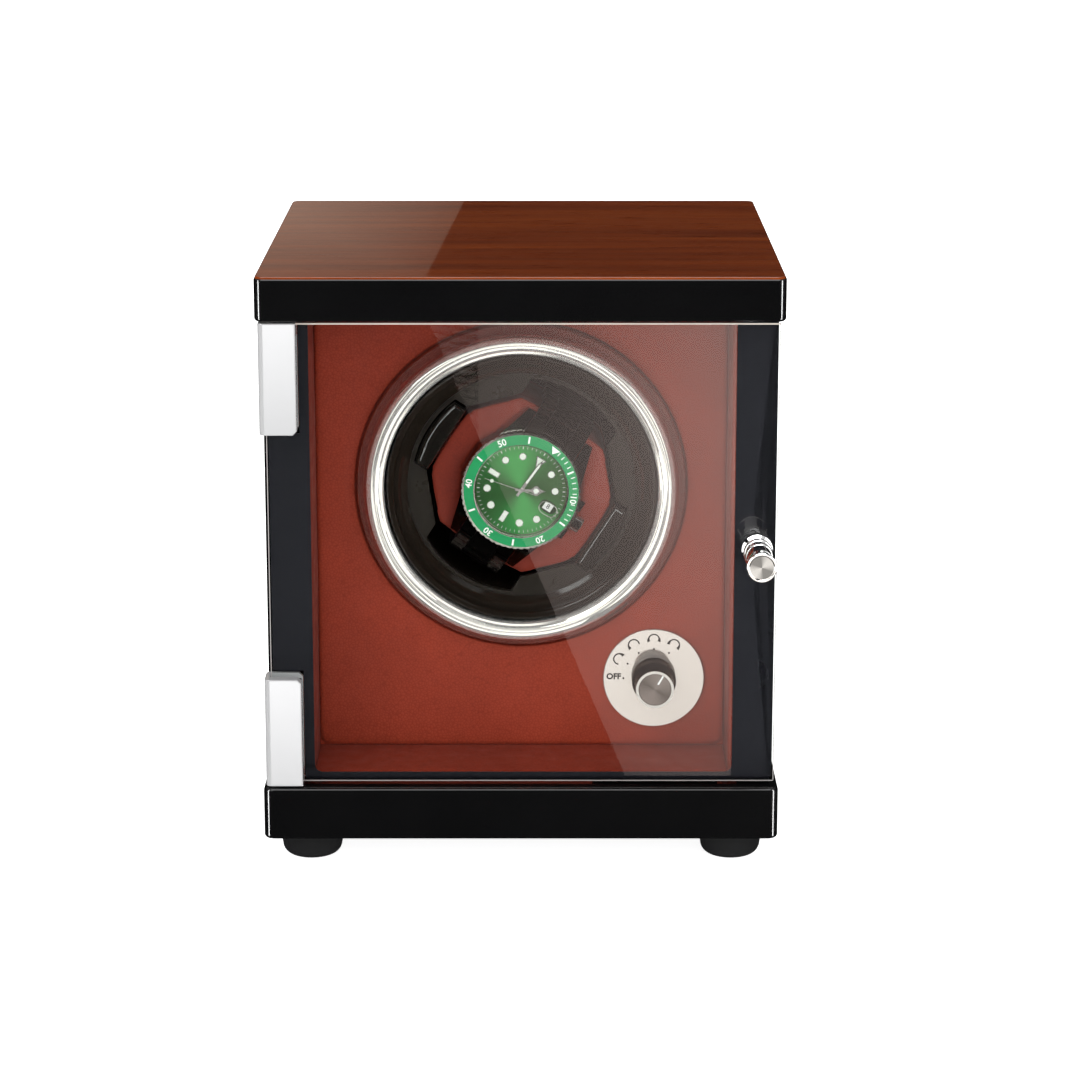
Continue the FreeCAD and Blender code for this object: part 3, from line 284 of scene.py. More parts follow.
def pull_metal():
    """Polished chrome with a spun, greyer front face, brighter in two opposite fans as a painted reflection.
    """
    chrome = (0.9, 0.9, 0.895)
    look = Look("pull_chrome", chrome, 0.05, 1.0)
    axes = look.axes(PULL)
    angle = look.math("ARCTAN2", axes["Z"], axes["X"])
    # two bright fans on the spun face: painted reflection
    sheen_fan = look.math("ABSOLUTE", look.math("SINE", look.math("ADD", angle, 0.9)))
    face = look.ramp(sheen_fan, (0.5, (0.2, 0.2, 0.198)), (0.97, (0.55, 0.55, 0.545)))
    near = look.span(axes["Y"], 1, 0, 0.6 * MM, 0.7 * MM)
    inside = look.span(look.radius(PULL), 1, 0, 3.85 * MM, 3.95 * MM)
    look.color(look.mix(look.math("MULTIPLY", near, inside), chrome, face))
    marks = look.noise(look.place(), 260.0, 4)
    look.rough(look.span(marks, 0.04, 0.07))
    look.bump(marks, 0.02, 0.00005)
    return look.mat


def knob_metal():
    """Dark turned metal with a bright rim at the front."""
    look = Look("knob_metal", (0.13, 0.1, 0.085), 0.2, 1.0, Specular_Tint=(0.3, 0.25, 0.22, 1))
    behind = look.span(look.axes()["Y"], 0, 1, KNOB_FRONT + 0.5 * MM, KNOB_FRONT + 0.8 * MM)
    lines = look.noise(look.place((40, 900, 40)), 1.0, 3)
    body = look.ramp(lines, (0.3, (0.028, 0.02, 0.016)), (0.7, (0.05, 0.038, 0.03)))
    look.color(look.mix(behind, (0.86, 0.81, 0.76), body))
    look.rough(look.span(lines, 0.16, 0.28))
    look.bump(lines, 0.06, 0.00005)
    return look.mat


def veneer():
    """Straight brown grain from left to right under a gloss lacquer."""
    look = Look("brown_veneer", (0.1, 0.03, 0.01), 0.3, 0.0, Coat_Weight=0.8, Coat_Roughness=0.02,
                Specular_IOR_Level=0.1)
    drift = look.noise(look.place((5, 9, 9)), 1.0, 2)
    bent = look.add(look.place((7, 130, 130)), look.combine(Y=look.math("MULTIPLY", drift, 3.5)))
    broad = look.noise(bent, 1.0, 4, 0.6)
    fine = look.noise(look.scale(bent, 5.5), 1.0, 6, 0.7)
    wood = look.ramp(broad, (0.26, (0.105, 0.0155, 0.0008)), (0.46, (0.165, 0.026, 0.0013)),
                     (0.6, (0.205, 0.035, 0.0018)), (0.78, (0.26, 0.052, 0.0036)))
    pores = look.ramp(fine, (0.32, (0.66, 0.6, 0.56)), (0.5, (1, 1, 1)), (0.8, (1.12, 1.1, 1.06)))
    look.color(look.mix(0.6, wood, pores, "MULTIPLY"))
    look.rough(look.span(fine, 0.24, 0.38))
    look.bump(fine, 0.02, 0.0001)
    return look.mat


def leather(name, color, grain=1.0, rough=0.5, creases=0.35, roll=None):
    """Leatherette: small pebbles divided by creases darkened with painted shade, with slow changes of tone.
    roll is the centre of a rolled edge and its dip round the ring, the dip darkened with painted shade."""
    look = Look(name, color, rough, 0.0, Specular_IOR_Level=0.1, Sheen_Weight=0.03, Sheen_Roughness=0.45)
    where = look.place()
    wander = look.node("ShaderNodeTexNoise")
    look.link(where, wander.inputs["Vector"])
    wander.inputs["Scale"].default_value = 380.0 * grain
    warped = look.add(where, look.scale(wander.outputs["Color"], 0.7 * MM / grain))
    pebbles = look.cells(warped, 950.0 * grain, "F1")
    edges = look.cells(warped, 950.0 * grain, "DISTANCE_TO_EDGE")
    slow = look.noise(where, 22.0, 4, 0.6)
    tone = look.ramp(slow, (0.3, tint(color, 0.86)), (0.7, tint(color, 1.1)))
    # darker creases between the pebbles: painted shade
    dark = look.span(edges, 0.72, 1.0, 0.0, 0.16)
    tone = look.mix(1.0, tone, look.ramp(dark, (0.7, (0.74, 0.7, 0.7)), (1.0, (1, 1, 1))), "MULTIPLY")
    if roll:
        share = look.span(look.radius(roll), 0, 1, 52 * MM, 62 * MM)
        # the dip outside the rolled edge is darkened: painted shade
        groove_shade = look.ramp(share, (0.44, (1, 1, 1)), (0.52, (0.35, 0.28, 0.28)), (0.6, (1, 1, 1)))
        tone = look.mix(1.0, tone, groove_shade, "MULTIPLY")
        heights = ((0.0, 0.35), (0.26, 1.0), (0.46, 0.5), (0.52, 0.0), (0.58, 0.5), (0.9, 0.72))
        look.bump(look.ramp(share, *((at, (level,) * 3) for at, level in heights)), 1.0, 1.1 * MM)
    look.color(tone)
    look.rough(look.span(look.noise(where, 160.0, 4), rough * 0.85, rough * 1.2))
    look.bump(edges, creases, 0.00012 / grain)
    look.bump(look.math("SUBTRACT", 1.0, pebbles), creases * 0.5, 0.00008 / grain)
    look.bump(look.noise(where, 55.0, 3), 0.12, 0.0006)
    return look.mat


def pane(name, clear, smear):
    """Clear sheet: what is behind it shows through, and its outside mirrors by its angle."""
    look = Look(name, clear)
    look.nodes.remove(look.shader)
    see = look.node("ShaderNodeBsdfTransparent")
    see.inputs["Color"].default_value = (*clear, 1)
    shine = look.node("ShaderNodeBsdfGlossy")
    shine.inputs["Color"].default_value = (1, 1, 1, 1)
    marks = look.noise(look.place(), 35.0, 4)
    look.link(look.span(marks, GLASS_ROUGH, GLASS_ROUGH + smear), shine.inputs["Roughness"])
    angle = look.node("ShaderNodeFresnel")
    angle.inputs["IOR"].default_value = GLASS_IOR
    side = look.node("ShaderNodeNewGeometry")
    outside = look.math("SUBTRACT", 1.0, side.outputs["Backfacing"])
    both = look.node("ShaderNodeMixShader")
    look.link(look.math("MULTIPLY", angle.outputs[0], outside), both.inputs[0])
    look.link(see.outputs[0], both.inputs[1])
    look.link(shine.outputs[0], both.inputs[2])
    look.link(both.outputs[0], look.out.inputs["Surface"])
    return look.mat


def sunburst(name, dark, bright, centre, rough=0.3, rays=46.0, metallic=0.75, lean=0.55, sharp=1.0):
    """Spun or rayed metal: fine lines out from the centre, seen along Y, brighter in two opposite fans, which
    are a painted reflection.
    """
    look = Look(name, bright, rough, metallic)
    axes = look.axes(centre)
    angle = look.math("ARCTAN2", axes["Z"], axes["X"])
    # the two bright fans are a painted reflection of the light on the rays
    wave = look.math("ABSOLUTE", look.math("SINE", look.math("ADD", angle, lean)))
    sheen_fan = look.math("POWER", wave, sharp)
    around = look.combine(X=look.math("SINE", angle), Y=look.math("COSINE", angle))
    lines = look.noise(around, rays, 4, 0.7)
    glow = look.math("MULTIPLY", sheen_fan, 0.65)
    share = look.math("ADD", glow, look.math("MULTIPLY", lines, 0.45), clamp=True)
    look.color(look.ramp(share, (0.15, dark), (0.9, bright)))
    look.rough(look.span(lines, rough * 0.8, rough * 1.2))
    look.bump(lines, 0.05, 0.00003)
    return look.mat


RED = (0.23, 0.0315, 0.0155)
LOOKS = {
    "lacquer": lacquer(),
    "veneer": veneer(),
    "back_board": plain("satin_black_board", (0.02, 0.02, 0.021), 0.45, grain=700, bump=0.1),
    "raw_wood": plain("bare_fibreboard", (0.36, 0.235, 0.13), 0.75, grain=1600, bump=0.3, change=0.2),
    "screw_steel": polished("zinc_screws", (0.58, 0.58, 0.6), 0.26, 0.12),
    "nylon": plain("nylon", (0.72, 0.7, 0.64), 0.45, Subsurface_Weight=0.05),
    "foot_rubber": plain("foot_rubber", (0.012, 0.012, 0.0125), 0.5, grain=1400, bump=0.15),
    "liner_leather": leather("liner_leather", RED, 1.0),
    "face_leather": leather("face_leather", RED, 1.0, roll=(0, 0, AXIS.z)),
    "cushion_leather": leather("cushion_leather", (0.135, 0.018, 0.01), 1.25, 0.42, 0.28),
    "ring_chrome": ring_metal(),
    "bearing_steel": brushed("bearing_steel", (0.55, 0.55, 0.57), 0.25),
    "bush_brass": brushed("turned_brass", (0.78, 0.55, 0.24), 0.3),
    "magnet_nickel": polished("nickel", (0.72, 0.69, 0.64), 0.18),
    "strike_steel": brushed("strike_steel", (0.56, 0.56, 0.57), 0.3, (40, 1, 1)),
    "plate_aluminium": brushed("mill_aluminium", (0.72, 0.73, 0.74), 0.35, (40, 1, 1)),
    "gearbox_plastic": plain("gearbox_plastic", (0.03, 0.03, 0.033), 0.5, bump=0.15),
    "motor_steel": brushed("plated_steel", (0.6, 0.6, 0.62), 0.25, (40, 1, 40)),
    "belt_rubber": plain("belt_rubber", (0.014, 0.014, 0.014), 0.6, grain=2000, bump=0.2),
    "selector_plate": plain("selector_plate", (0.86, 0.785, 0.73), 0.05, 0.75, change=0.01, bump=0.001),
    "switch_body": plain("switch_body", (0.02, 0.02, 0.022), 0.4),
    "board_green": plain("solder_mask", (0.01, 0.11, 0.045), 0.3, change=0.2, Coat_Weight=0.5),
    "lead_black": plain("lead_sleeves", (0.02, 0.02, 0.02), 0.45),
    "door_glass": pane("door_glass", (0.975, 0.985, 0.98), smear=0.004),
    "mask_black": plain("mask_print", (0.0125, 0.0125, 0.0155), 0.3, change=0.03, bump=0.002, spread=0.1,
                        Specular_IOR_Level=0.2),
    "clamp_satin": plain("clamp_satin", (0.51, 0.51, 0.515), 0.07, 0.35, change=0.01, bump=0.003),
    "pull_chrome": pull_metal(),
    "drum_gloss": plain("drum_gloss", (0.012, 0.0085, 0.0062), 0.14, change=0.1, grain=70, bump=0.004,
                        Coat_Weight=0.3, Coat_Roughness=0.05),
    "seat_grey": plain("seat_plastic", (0.022, 0.0175, 0.0135), 0.3, change=0.1, bump=0.008),
    "pulley_plastic": plain("pulley_plastic", (0.025, 0.025, 0.027), 0.45),
    "knob_chrome": knob_metal(),
    "knob_cap": sunburst("spun_cap", (0.1, 0.082, 0.07), (0.24, 0.2, 0.18),
                         (CAP.x, 0, CAP.z), 0.35),
    "cap_gloss": plain("cap_gloss", (0.007, 0.006, 0.005), 0.1, change=0.1, grain=70, bump=0.01,
                       Coat_Weight=0.6, Coat_Roughness=0.03),
    "core_plastic": plain("core_plastic", (0.03, 0.03, 0.031), 0.5),
    "watch_steel": polished("watch_steel", (0.62, 0.6, 0.58), 0.1),
    "insert_green": plain("green_insert", (0.022, 0.27, 0.095), 0.16, change=0.08, bump=0.01, Coat_Weight=1.0,
                          Coat_Roughness=0.03),
    "watch_glass": pane("watch_crystal", (0.985, 0.99, 0.985), smear=0.01),
    "dial_green": sunburst("green_dial", (0.038, 0.105, 0.03), (0.08, 0.43, 0.11), (0, 0, AXIS.z), 0.4, 60.0,
                           0.25, -0.17, 3.0),
    "hand_steel": polished("hand_steel", (0.86, 0.86, 0.86), 0.12),
    "bracelet_dark": brushed("dark_links", (0.085, 0.075, 0.07), 0.26, (1, 40, 1), 0.15, 0.05),
}
LUME = plain("pale_lume", (0.8, 0.82, 0.76), 0.5, change=0.03, bump=0.03)
RIM = plain("turned_rim", (0.84, 0.79, 0.74), 0.3, 0.3, change=0.03, bump=0.01)
PRINT = plain("black_print", (0.012, 0.01, 0.009), 0.45, change=0.08)
WHITE_PRINT = plain("white_print", (0.82, 0.82, 0.8), 0.45, change=0.03)
# pale glass edge: partly its own paleness, partly painted highlight; the brighter top edge is a painted
# highlight
GROUND_EDGE_AND_HIGHLIGHT = plain("ground_glass_edge_and_highlight", (0.34, 0.32, 0.31), 0.5, change=0.05, bump=0.1)
TOP_EDGE_HIGHLIGHT = plain("lit_glass_edge", (0.66, 0.6, 0.53), 0.5, change=0.05, bump=0.1)
LENS_RIM = polished("lens_rim", (0.75, 0.78, 0.74), 0.2)
DARK_PRINT = plain("dark_green_print", (0.012, 0.045, 0.014), 0.4, change=0.06)

slots = {entry["node"]: entry["material_slot"] for entry in frame["record"]["subparts"]}
for name, obj in NODES.items():
    for slot in obj.material_slots:
        slot.link = "OBJECT"
        slot.material = LOOKS[slots[name]]


# ---------------------------------------------------------------------------------------------
# Shape helpers
# ---------------------------------------------------------------------------------------------
def piece(name, verts, faces, look, body, node=None, slot=None, place=None, smooth=40):
    """A mesh piece that rides on a body and, where node is given, stands for that CAD node."""
    mesh = bpy.data.meshes.new(name)
    mesh.from_pydata([tuple(v) for v in verts], [], faces)
    mesh.validate()
    obj = bpy.data.objects.new(name, mesh)
    bpy.context.scene.collection.objects.link(obj)
    return finish_piece(obj, look, body, node, place, smooth)


def finish_piece(obj, look, body, node=None, place=None, smooth=40):
    """Looks, shading, place and frame calls of a piece. smooth is the sharpest angle shaded round."""
    clean = bmesh.new()
    clean.from_mesh(obj.data)
    bmesh.ops.recalc_face_normals(clean, faces=clean.faces)
    clean.to_mesh(obj.data)
    clean.free()
    obj.data.materials.clear()
    obj.data.materials.append(look)
    if smooth:
        obj.data.shade_smooth()
        obj.data.set_sharp_from_angle(angle=math.radians(smooth))
    if place is not None:
        obj.matrix_world = place
        bpy.context.view_layer.update()
    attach(obj, body)
    if node:
        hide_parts(node)
    return obj


def merged(parts):
    """One list of vertices and faces from several."""
    verts, faces = [], []
    for more_verts, more_faces in parts:
        base = len(verts)
        verts += more_verts
        faces += [tuple(i + base for i in face) for face in more_faces]
    return verts, faces


def slab(outline, y0, y1):
    """Closed plate over an (x, z) outline, between two depths."""
    count = len(outline)
    verts = [(x, y0, z) for x, z in outline] + [(x, y1, z) for x, z in outline]
    faces = [tuple(range(count)), tuple(range(2 * count - 1, count - 1, -1))]
    faces += [(i, (i + 1) % count, (i + 1) % count + count, i + count) for i in range(count)]
    return verts, faces


def disc(x, z, r, y0, y1, count=28):
    """Round plate between two depths."""
    ring = [(x + r * math.cos(2 * math.pi * i / count), z + r * math.sin(2 * math.pi * i / count))
            for i in range(count)]
    return slab(ring, y0, y1)


def band(x, z, r, width, start, end, y0, y1, count=26, taper=None):
    """Arc of a flat ring. taper(share) widens it along its length."""
    outer, inner = [], []
    for i in range(count + 1):
        share = i / count
        angle = math.radians(start + (end - start) * share)
        half = width / 2 * (taper(share) if taper else 1)
        outer.append((x + (r + half) * math.cos(angle), z + (r + half) * math.sin(angle)))
        inner.append((x + (r - half) * math.cos(angle), z + (r - half) * math.sin(angle)))
    return slab(outer + inner[::-1], y0, y1)


def bar(x, z, angle, start, end, width, y0, y1):
    """Straight bar along a ray from x, z, between two distances."""
    along = Vector((math.cos(math.radians(angle)), math.sin(math.radians(angle))))
    across = Vector((-along.y, along.x)) * width / 2
    centre = Vector((x, z))
    corners = [centre + along * start - across, centre + along * end - across,
               centre + along * end + across, centre + along * start + across]
    return slab([tuple(c) for c in corners], y0, y1)


def lettering(text, size, x, z, y0, y1, turn=0.0, bold=0.0):
    """Text as a thin solid facing the viewer, centred on x, z."""
    curve = bpy.data.curves.new("text", "FONT")
    curve.body = text
    curve.size = size
    curve.align_x = "CENTER"
    curve.align_y = "CENTER"
    curve.extrude = abs(y1 - y0) / 2
    curve.offset = bold
    curve.resolution_u = 4
    made = bpy.data.objects.new("text", curve)
    bpy.context.scene.collection.objects.link(made)
    bpy.context.view_layer.update()
    mesh = bpy.data.meshes.new_from_object(made)
    bpy.data.objects.remove(made)
    spin = Matrix.Rotation(math.radians(turn), 3, "Z")
    verts = []
    for v in mesh.vertices:
        flat = spin @ v.co
        verts.append((x + flat.x, (y0 + y1) / 2 - flat.z, z + flat.y))
    return verts, [tuple(p.vertices) for p in mesh.polygons]


# ---------------------------------------------------------------------------------------------
# Padded lining and face
# ---------------------------------------------------------------------------------------------
def steps(length, first, last, pitch):
    """Distances along a panel: close together at its two rounded edges."""
    shares = (0, 0.06, 0.16, 0.3, 0.48, 0.72, 1.0)
    count = max(2, round((length - first - last) / pitch))
    middle = [first + (length - first - last) * i / count for i in range(1, count)]
    return [first * k for k in shares] + middle + [length - last * k for k in reversed(shares)]


def fall(d, radius):
    """Drop of a rounded edge, from 1 at the edge to 0 at its radius."""
    if d >= radius:
        return 0.0
    return 1 - math.sqrt(max(0.0, 1 - (1 - max(d, 0.0) / radius) ** 2))


def waves(spot):
    """Slight unevenness of stuffed leather."""
    return 0.12 * MM * math.sin(61 * spot.x + 47 * spot.z + 5) * math.sin(53 * spot.y + 71 * spot.z)


def closed_board(verts, faces, corner, out):
    """Gives a padded front a flat back and walls, and drops the points that no face uses."""
    front = len(verts)
    verts = verts + [v - out * (v - corner).dot(out) for v in verts]
    sides = dict.fromkeys((f[k], f[(k + 1) % 4]) for f in faces for k in range(4))
    faces = faces + [tuple(k + front for k in reversed(f)) for f in faces]
    faces += [(b, a, a + front, b + front) for a, b in sides if (b, a) not in sides]
    used = sorted({k for f in faces for k in f})
    index = {k: i for i, k in enumerate(used)}
    return [verts[k] for k in used], [tuple(index[k] for k in f) for f in faces]


def padded_panel(corner, along, across, thickness, crown, edges, pitch=4 * MM, hole=None, dips=(),
                 corners=0.0):
    """Stuffed board. corner is on its back; along x across points out of its front. edges holds
    (radius, sink) for the start and end of along, then of across."""
    corner, along, across = Vector(corner), Vector(along), Vector(across)
    length, width = along.length, across.length
    u, v = along.normalized(), across.normalized()
    out = u.cross(v)
    rows = steps(length, edges[0][0], edges[1][0], pitch)
    columns = steps(width, edges[2][0], edges[3][0], pitch)
    verts, faces = [], []
    for a in rows:
        for b in columns:
            near_a, near_b = min(a, length - a), min(b, width - b)
            falls = [fall(d, radius) for d, (radius, sink) in zip((a, length - a, b, width - b), edges)]
            if near_a < corners and near_b < corners:
                falls[0] = fall(corners - math.hypot(corners - near_a, corners - near_b), edges[0][0])
            drop = max(f * sink for f, (radius, sink) in zip(falls, edges))
            s, t = 2 * a / length - 1, 2 * b / width - 1
            spot = corner + u * a + v * b
            rise = crown * (1 - s * s) * (1 - t * t) - sum(dip(spot) for dip in dips) + waves(spot)
            verts.append(spot + out * (thickness - drop + rise * (1 - max(falls))))
    n = len(columns)
    for i in range(len(rows) - 1):
        for j in range(n - 1):
            quad = (i * n + j, (i + 1) * n + j, (i + 1) * n + j + 1, i * n + j + 1)
            if not (hole and any(hole(verts[k]) for k in quad)):
                faces.append(quad)
    return closed_board(verts, faces, corner, out)


def radius_from_axis(p):
    return math.hypot(p[0] - AXIS.x, p[2] - AXIS.z)


def face_leather():
    """The face's board, open inside the drum's ring and pressed in under the ring and the plate."""
    low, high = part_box("face_pad")
    back = high[1]
    ring_r = (RING_HIGH[0] - RING_LOW[0]) / 2
    plate_r, sunk = 16.5 * MM, 1.2 * MM

    def under_ring(p):
        r = radius_from_axis(p)
        return 0.5 * MM * math.exp(-((r - ring_r) / (3 * MM)) ** 2) + (sunk if r < ring_r else 0)

    def under_plate(p):
        r = math.hypot(p[0] - SELECTOR.x, p[2] - SELECTOR.z)
        return sunk if r < plate_r else 0.3 * MM * math.exp(-((r - 17.8 * MM) / (2 * MM)) ** 2)

    def in_drum(p):
        return radius_from_axis(p) < 50.5 * MM
    panel = padded_panel((low[0], back, low[2]), (high[0] - low[0], 0, 0), (0, 0, high[2] - low[2]),
                         back - FACE, 0.3 * MM, ((2 * MM, 1.3 * MM),) * 4, 1.8 * MM, in_drum,
                         (under_ring, under_plate), 4.5 * MM)
    pad = piece("face_leather_pad", *panel, LOOKS["face_leather"], "cabinet", "face_pad", "face_leather")


def lining():
    """Boards on the walls, the floor and the ceiling."""
    hidden = (0.5 * MM, 0.0)
    low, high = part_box("liner_sides")
    depth, height = high[1] - low[1], high[2] - low[2]
    thick, front = 3 * MM, (2.8 * MM, 2.7 * MM)
    left = padded_panel((low[0], low[1], low[2]), (0, depth, 0), (0, 0, height),
                        thick, 0.4 * MM, (front, hidden, hidden, hidden))
    right = padded_panel((high[0], high[1], low[2]), (0, -depth, 0), (0, 0, height),
                         thick, 0.4 * MM, (hidden, front, hidden, hidden))
    walls = piece("side_leather_pads", *merged([left, right]), LOOKS["liner_leather"], "cabinet",
                  "liner_sides", "liner_leather")

    low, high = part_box("liner_ends")
    width, depth = high[0] - low[0], high[1] - low[1]
    thin, front, end = 1.5 * MM, (1.8 * MM, 1.35 * MM), (1.2 * MM, 0.5 * MM)
    floor = padded_panel((low[0], low[1], low[2]), (width, 0, 0), (0, depth, 0),
                         thin, 0.3 * MM, (end, end, front, hidden))
    ceiling = padded_panel((high[0], low[1], high[2]), (-width, 0, 0), (0, depth, 0),
                           thin, 0.3 * MM, (end, end, front, hidden))
    ends = piece("end_leather_pads", *merged([floor, ceiling]), LOOKS["liner_leather"], "cabinet",
                 "liner_ends", "liner_leather")


# ---------------------------------------------------------------------------------------------
# Pillow
# ---------------------------------------------------------------------------------------------
def octagon(half_x, flat_x, half_z, flat_z):
    """Corners from the reach and the half flat on each axis."""
    return [(half_x, flat_z), (flat_x, half_z), (-flat_x, half_z), (-half_x, flat_z),
            (-half_x, -flat_z), (-flat_x, -half_z), (flat_x, -half_z), (half_x, -flat_z)]


def simulate(obj, pinned, pressure, frames, cap):
    """Inflates a piece with Blender's cloth and keeps each point within cap of where it was."""
    scene = bpy.context.scene
    before = [v.co.copy() for v in obj.data.vertices]
    group = obj.vertex_groups.new(name="held")
    group.add([v.index for v in obj.data.vertices if pinned(v.co)], 1.0, "REPLACE")
    cloth = obj.modifiers.new("Cloth", "CLOTH")
    cloth.settings.vertex_group_mass = "held"
    cloth.settings.use_pressure = True
    cloth.settings.uniform_pressure_force = pressure
    cloth.settings.effector_weights.gravity = 0
    cloth.settings.tension_stiffness = cloth.settings.compression_stiffness = 12
    cloth.settings.bending_stiffness = 0.6
    cloth.point_cache.frame_start, cloth.point_cache.frame_end = 1, frames
    for number in range(1, frames + 1):
        scene.frame_set(number)
    result = obj.evaluated_get(bpy.context.evaluated_depsgraph_get())
    mesh = bpy.data.meshes.new_from_object(result)
    for v, old in zip(mesh.vertices, before):
        move = v.co - old
        if move.length > cap:
            v.co = old + move * (cap / move.length)
    obj.modifiers.clear()
    obj.vertex_groups.clear()
    obj.data = mesh
    scene.frame_set(1)


def cushion():
    """Octagonal cushion, blown up by the cloth between its seams, flattened under the watch, its sides
    drawn in at the corners."""
    low, high = 43.9 * MM, 83.5 * MM
    outline = [(x * MM, z * MM) for x, z in octagon(29.3, 16.6, 26.4, 12.2)]
    verts, faces = slab(outline, low, high)
    mesh = bpy.data.meshes.new("pillow_leather")
    mesh.from_pydata(verts, [], faces)
    obj = bpy.data.objects.new("pillow_leather", mesh)
    bpy.context.scene.collection.objects.link(obj)
    rounding = obj.modifiers.new("Round", "BEVEL")
    rounding.width, rounding.segments = 2.4 * MM, 4
    grid = obj.modifiers.new("Grid", "REMESH")
    grid.mode, grid.voxel_size = "VOXEL", 1.15 * MM
    bpy.context.view_layer.update()
    even = bpy.data.meshes.new_from_object(obj.evaluated_get(bpy.context.evaluated_depsgraph_get()))
    obj.modifiers.clear()
    obj.data = even

    seam_in, seam_half = 4.2 * MM, 0.75 * MM

    def on_seam(co):
        """The seams run round the cushion a little inside its front and its back."""
        return min(abs(co.y - (low + seam_in)), abs(co.y - (high - seam_in))) < seam_half
    simulate(obj, on_seam, 4.0, 16, 1.6 * MM)
    corners = [Vector(c) for c in outline]
    for v in obj.data.vertices:
        r = math.hypot(v.co.x, v.co.z)
        if v.co.y < low + 3 * MM:
            under_case, under_strap, beside = 45.5, 43.65, 42.6
            bed = under_case if r < 20.8 * MM else under_strap if abs(v.co.x) < 17.5 * MM else beside
            v.co.y = max(v.co.y, bed * MM)
        near = min((Vector((v.co.x, v.co.z)) - c).length for c in corners)
        pull = 0.02 * math.exp(-(near / (5 * MM)) ** 2)
        tuck = 0.22 * MM * math.sin(v.co.x * 900 + 3 * math.sin(v.co.z * 260)) * min(1, r / (25 * MM)) ** 3
        v.co.x *= 1 - pull
        v.co.z *= 1 - pull
        if abs(v.co.z) > abs(v.co.x) or r < 20 * MM:
            v.co.y -= tuck
    finish_piece(obj, LOOKS["cushion_leather"], "pillow", "pillow_cushion", UPRIGHT, 0)
    obj.data.shade_smooth()
    more = obj.modifiers.new("Smooth", "SUBSURF")
    more.levels = more.render_levels = 1


# ---------------------------------------------------------------------------------------------
# Watch
# ---------------------------------------------------------------------------------------------
def hour(n):
    """Angle of an hour mark, counter-clockwise from +X on the upright watch."""
    return 90 - 30 * n


# Depths behind the cabinet's front, of the dial's marks and of their backs in the dial
MARK_TOP, MARK_BACK = 37.98 * MM, 38.12 * MM
FILL_TOP = MARK_TOP - 0.06 * MM


def on_dial(name, shape, look, slot="hand_steel"):
    piece(name, *shape, look, "pillow", slot=slot, place=UPRIGHT)


def dial_marks():
    """Hour marks with steel rims and pale fillings, and the minute track."""
    rims, fills = [], []
    circle = 11.7 * MM
    for n in (1, 2, 4, 5, 7, 8, 10, 11):
        a = math.radians(hour(n))
        x, z = circle * math.cos(a), circle * math.sin(a)
        rims.append(disc(x, z, 1.32 * MM, MARK_TOP, MARK_BACK))
        fills.append(disc(x, z, 1.08 * MM, FILL_TOP, MARK_TOP))
    for n in (6, 9):
        rims.append(bar(0, 0, hour(n), 9.0 * MM, 13.1 * MM, 1.9 * MM, MARK_TOP, MARK_BACK))
        fills.append(bar(0, 0, hour(n), 9.25 * MM, 12.85 * MM, 1.4 * MM, FILL_TOP, MARK_TOP))
    rims.append(slab([(0, 8.9 * MM), (2.0 * MM, 13.1 * MM), (-2.0 * MM, 13.1 * MM)], MARK_TOP, MARK_BACK))
    fills.append(slab([(0, 9.6 * MM), (1.5 * MM, 12.8 * MM), (-1.5 * MM, 12.8 * MM)], FILL_TOP, MARK_TOP))
    on_dial("dial_marker_rims", merged(rims), LOOKS["hand_steel"])
    on_dial("dial_marker_lume", merged(fills), LUME)
    ticks = []
    for i in range(60):
        width = (0.3 if i % 5 == 0 else 0.14) * MM
        ticks.append(bar(0, 0, 6 * i, 14.3 * MM, 15.2 * MM, width, MARK_TOP + 0.05 * MM, MARK_BACK))
    on_dial("dial_minute_track", merged(ticks), WHITE_PRINT)


def date_oval(half_x, half_z):
    """Squarish oval round the date's centre."""
    count = 40
    points = []
    for i in range(count):
        a = 2 * math.pi * i / count
        c, s = math.cos(a), math.sin(a)
        points.append((11.0 * MM + half_x * math.copysign(abs(c) ** 0.8, c),
                       half_z * math.copysign(abs(s) ** 0.8, s)))
    return points


def date_marks():
    """Date with its window, the dark print round it, and the rim of the lens on the glass above."""
    low, high = Vector((9.4, -1.35)) * MM, Vector((12.6, 1.35)) * MM
    window = slab([(low.x, low.y), (high.x, low.y), (high.x, high.y), (low.x, high.y)],
                  MARK_TOP + 0.04 * MM, MARK_BACK)
    on_dial("date_window", window, WHITE_PRINT)
    figures = lettering("8", 2.4 * MM, 11.0 * MM, 0, MARK_TOP, MARK_TOP + 0.05 * MM)
    on_dial("date_figures", figures, PRINT)
    surround = slab(date_oval(3.1 * MM, 2.1 * MM), MARK_TOP + 0.06 * MM, MARK_BACK)
    on_dial("date_surround", surround, DARK_PRINT)
    outer, inner = date_oval(3.4 * MM, 2.35 * MM), date_oval(3.12 * MM, 2.1 * MM)
    count = len(outer)
    verts = [(x, y, z) for y in (34.1 * MM, 34.42 * MM) for ring in (outer, inner) for x, z in ring]
    faces = []
    for i in range(count):
        k = (i + 1) % count
        for a, b in ((0, count), (count, 3 * count), (3 * count, 2 * count), (2 * count, 0)):
            faces.append((a + i, a + k, b + k, b + i))
    on_dial("date_lens_rim", (verts, faces), LENS_RIM, "watch_glass")


def hand(angle, y0, y1, points):
    """Plate over the outline of an upright hand, turned clockwise, all in degrees and millimetres."""
    turn = Matrix.Rotation(math.radians(-angle), 2)
    return slab([tuple(turn @ Vector(p) * MM) for p in points], y0 * MM, y1 * MM)


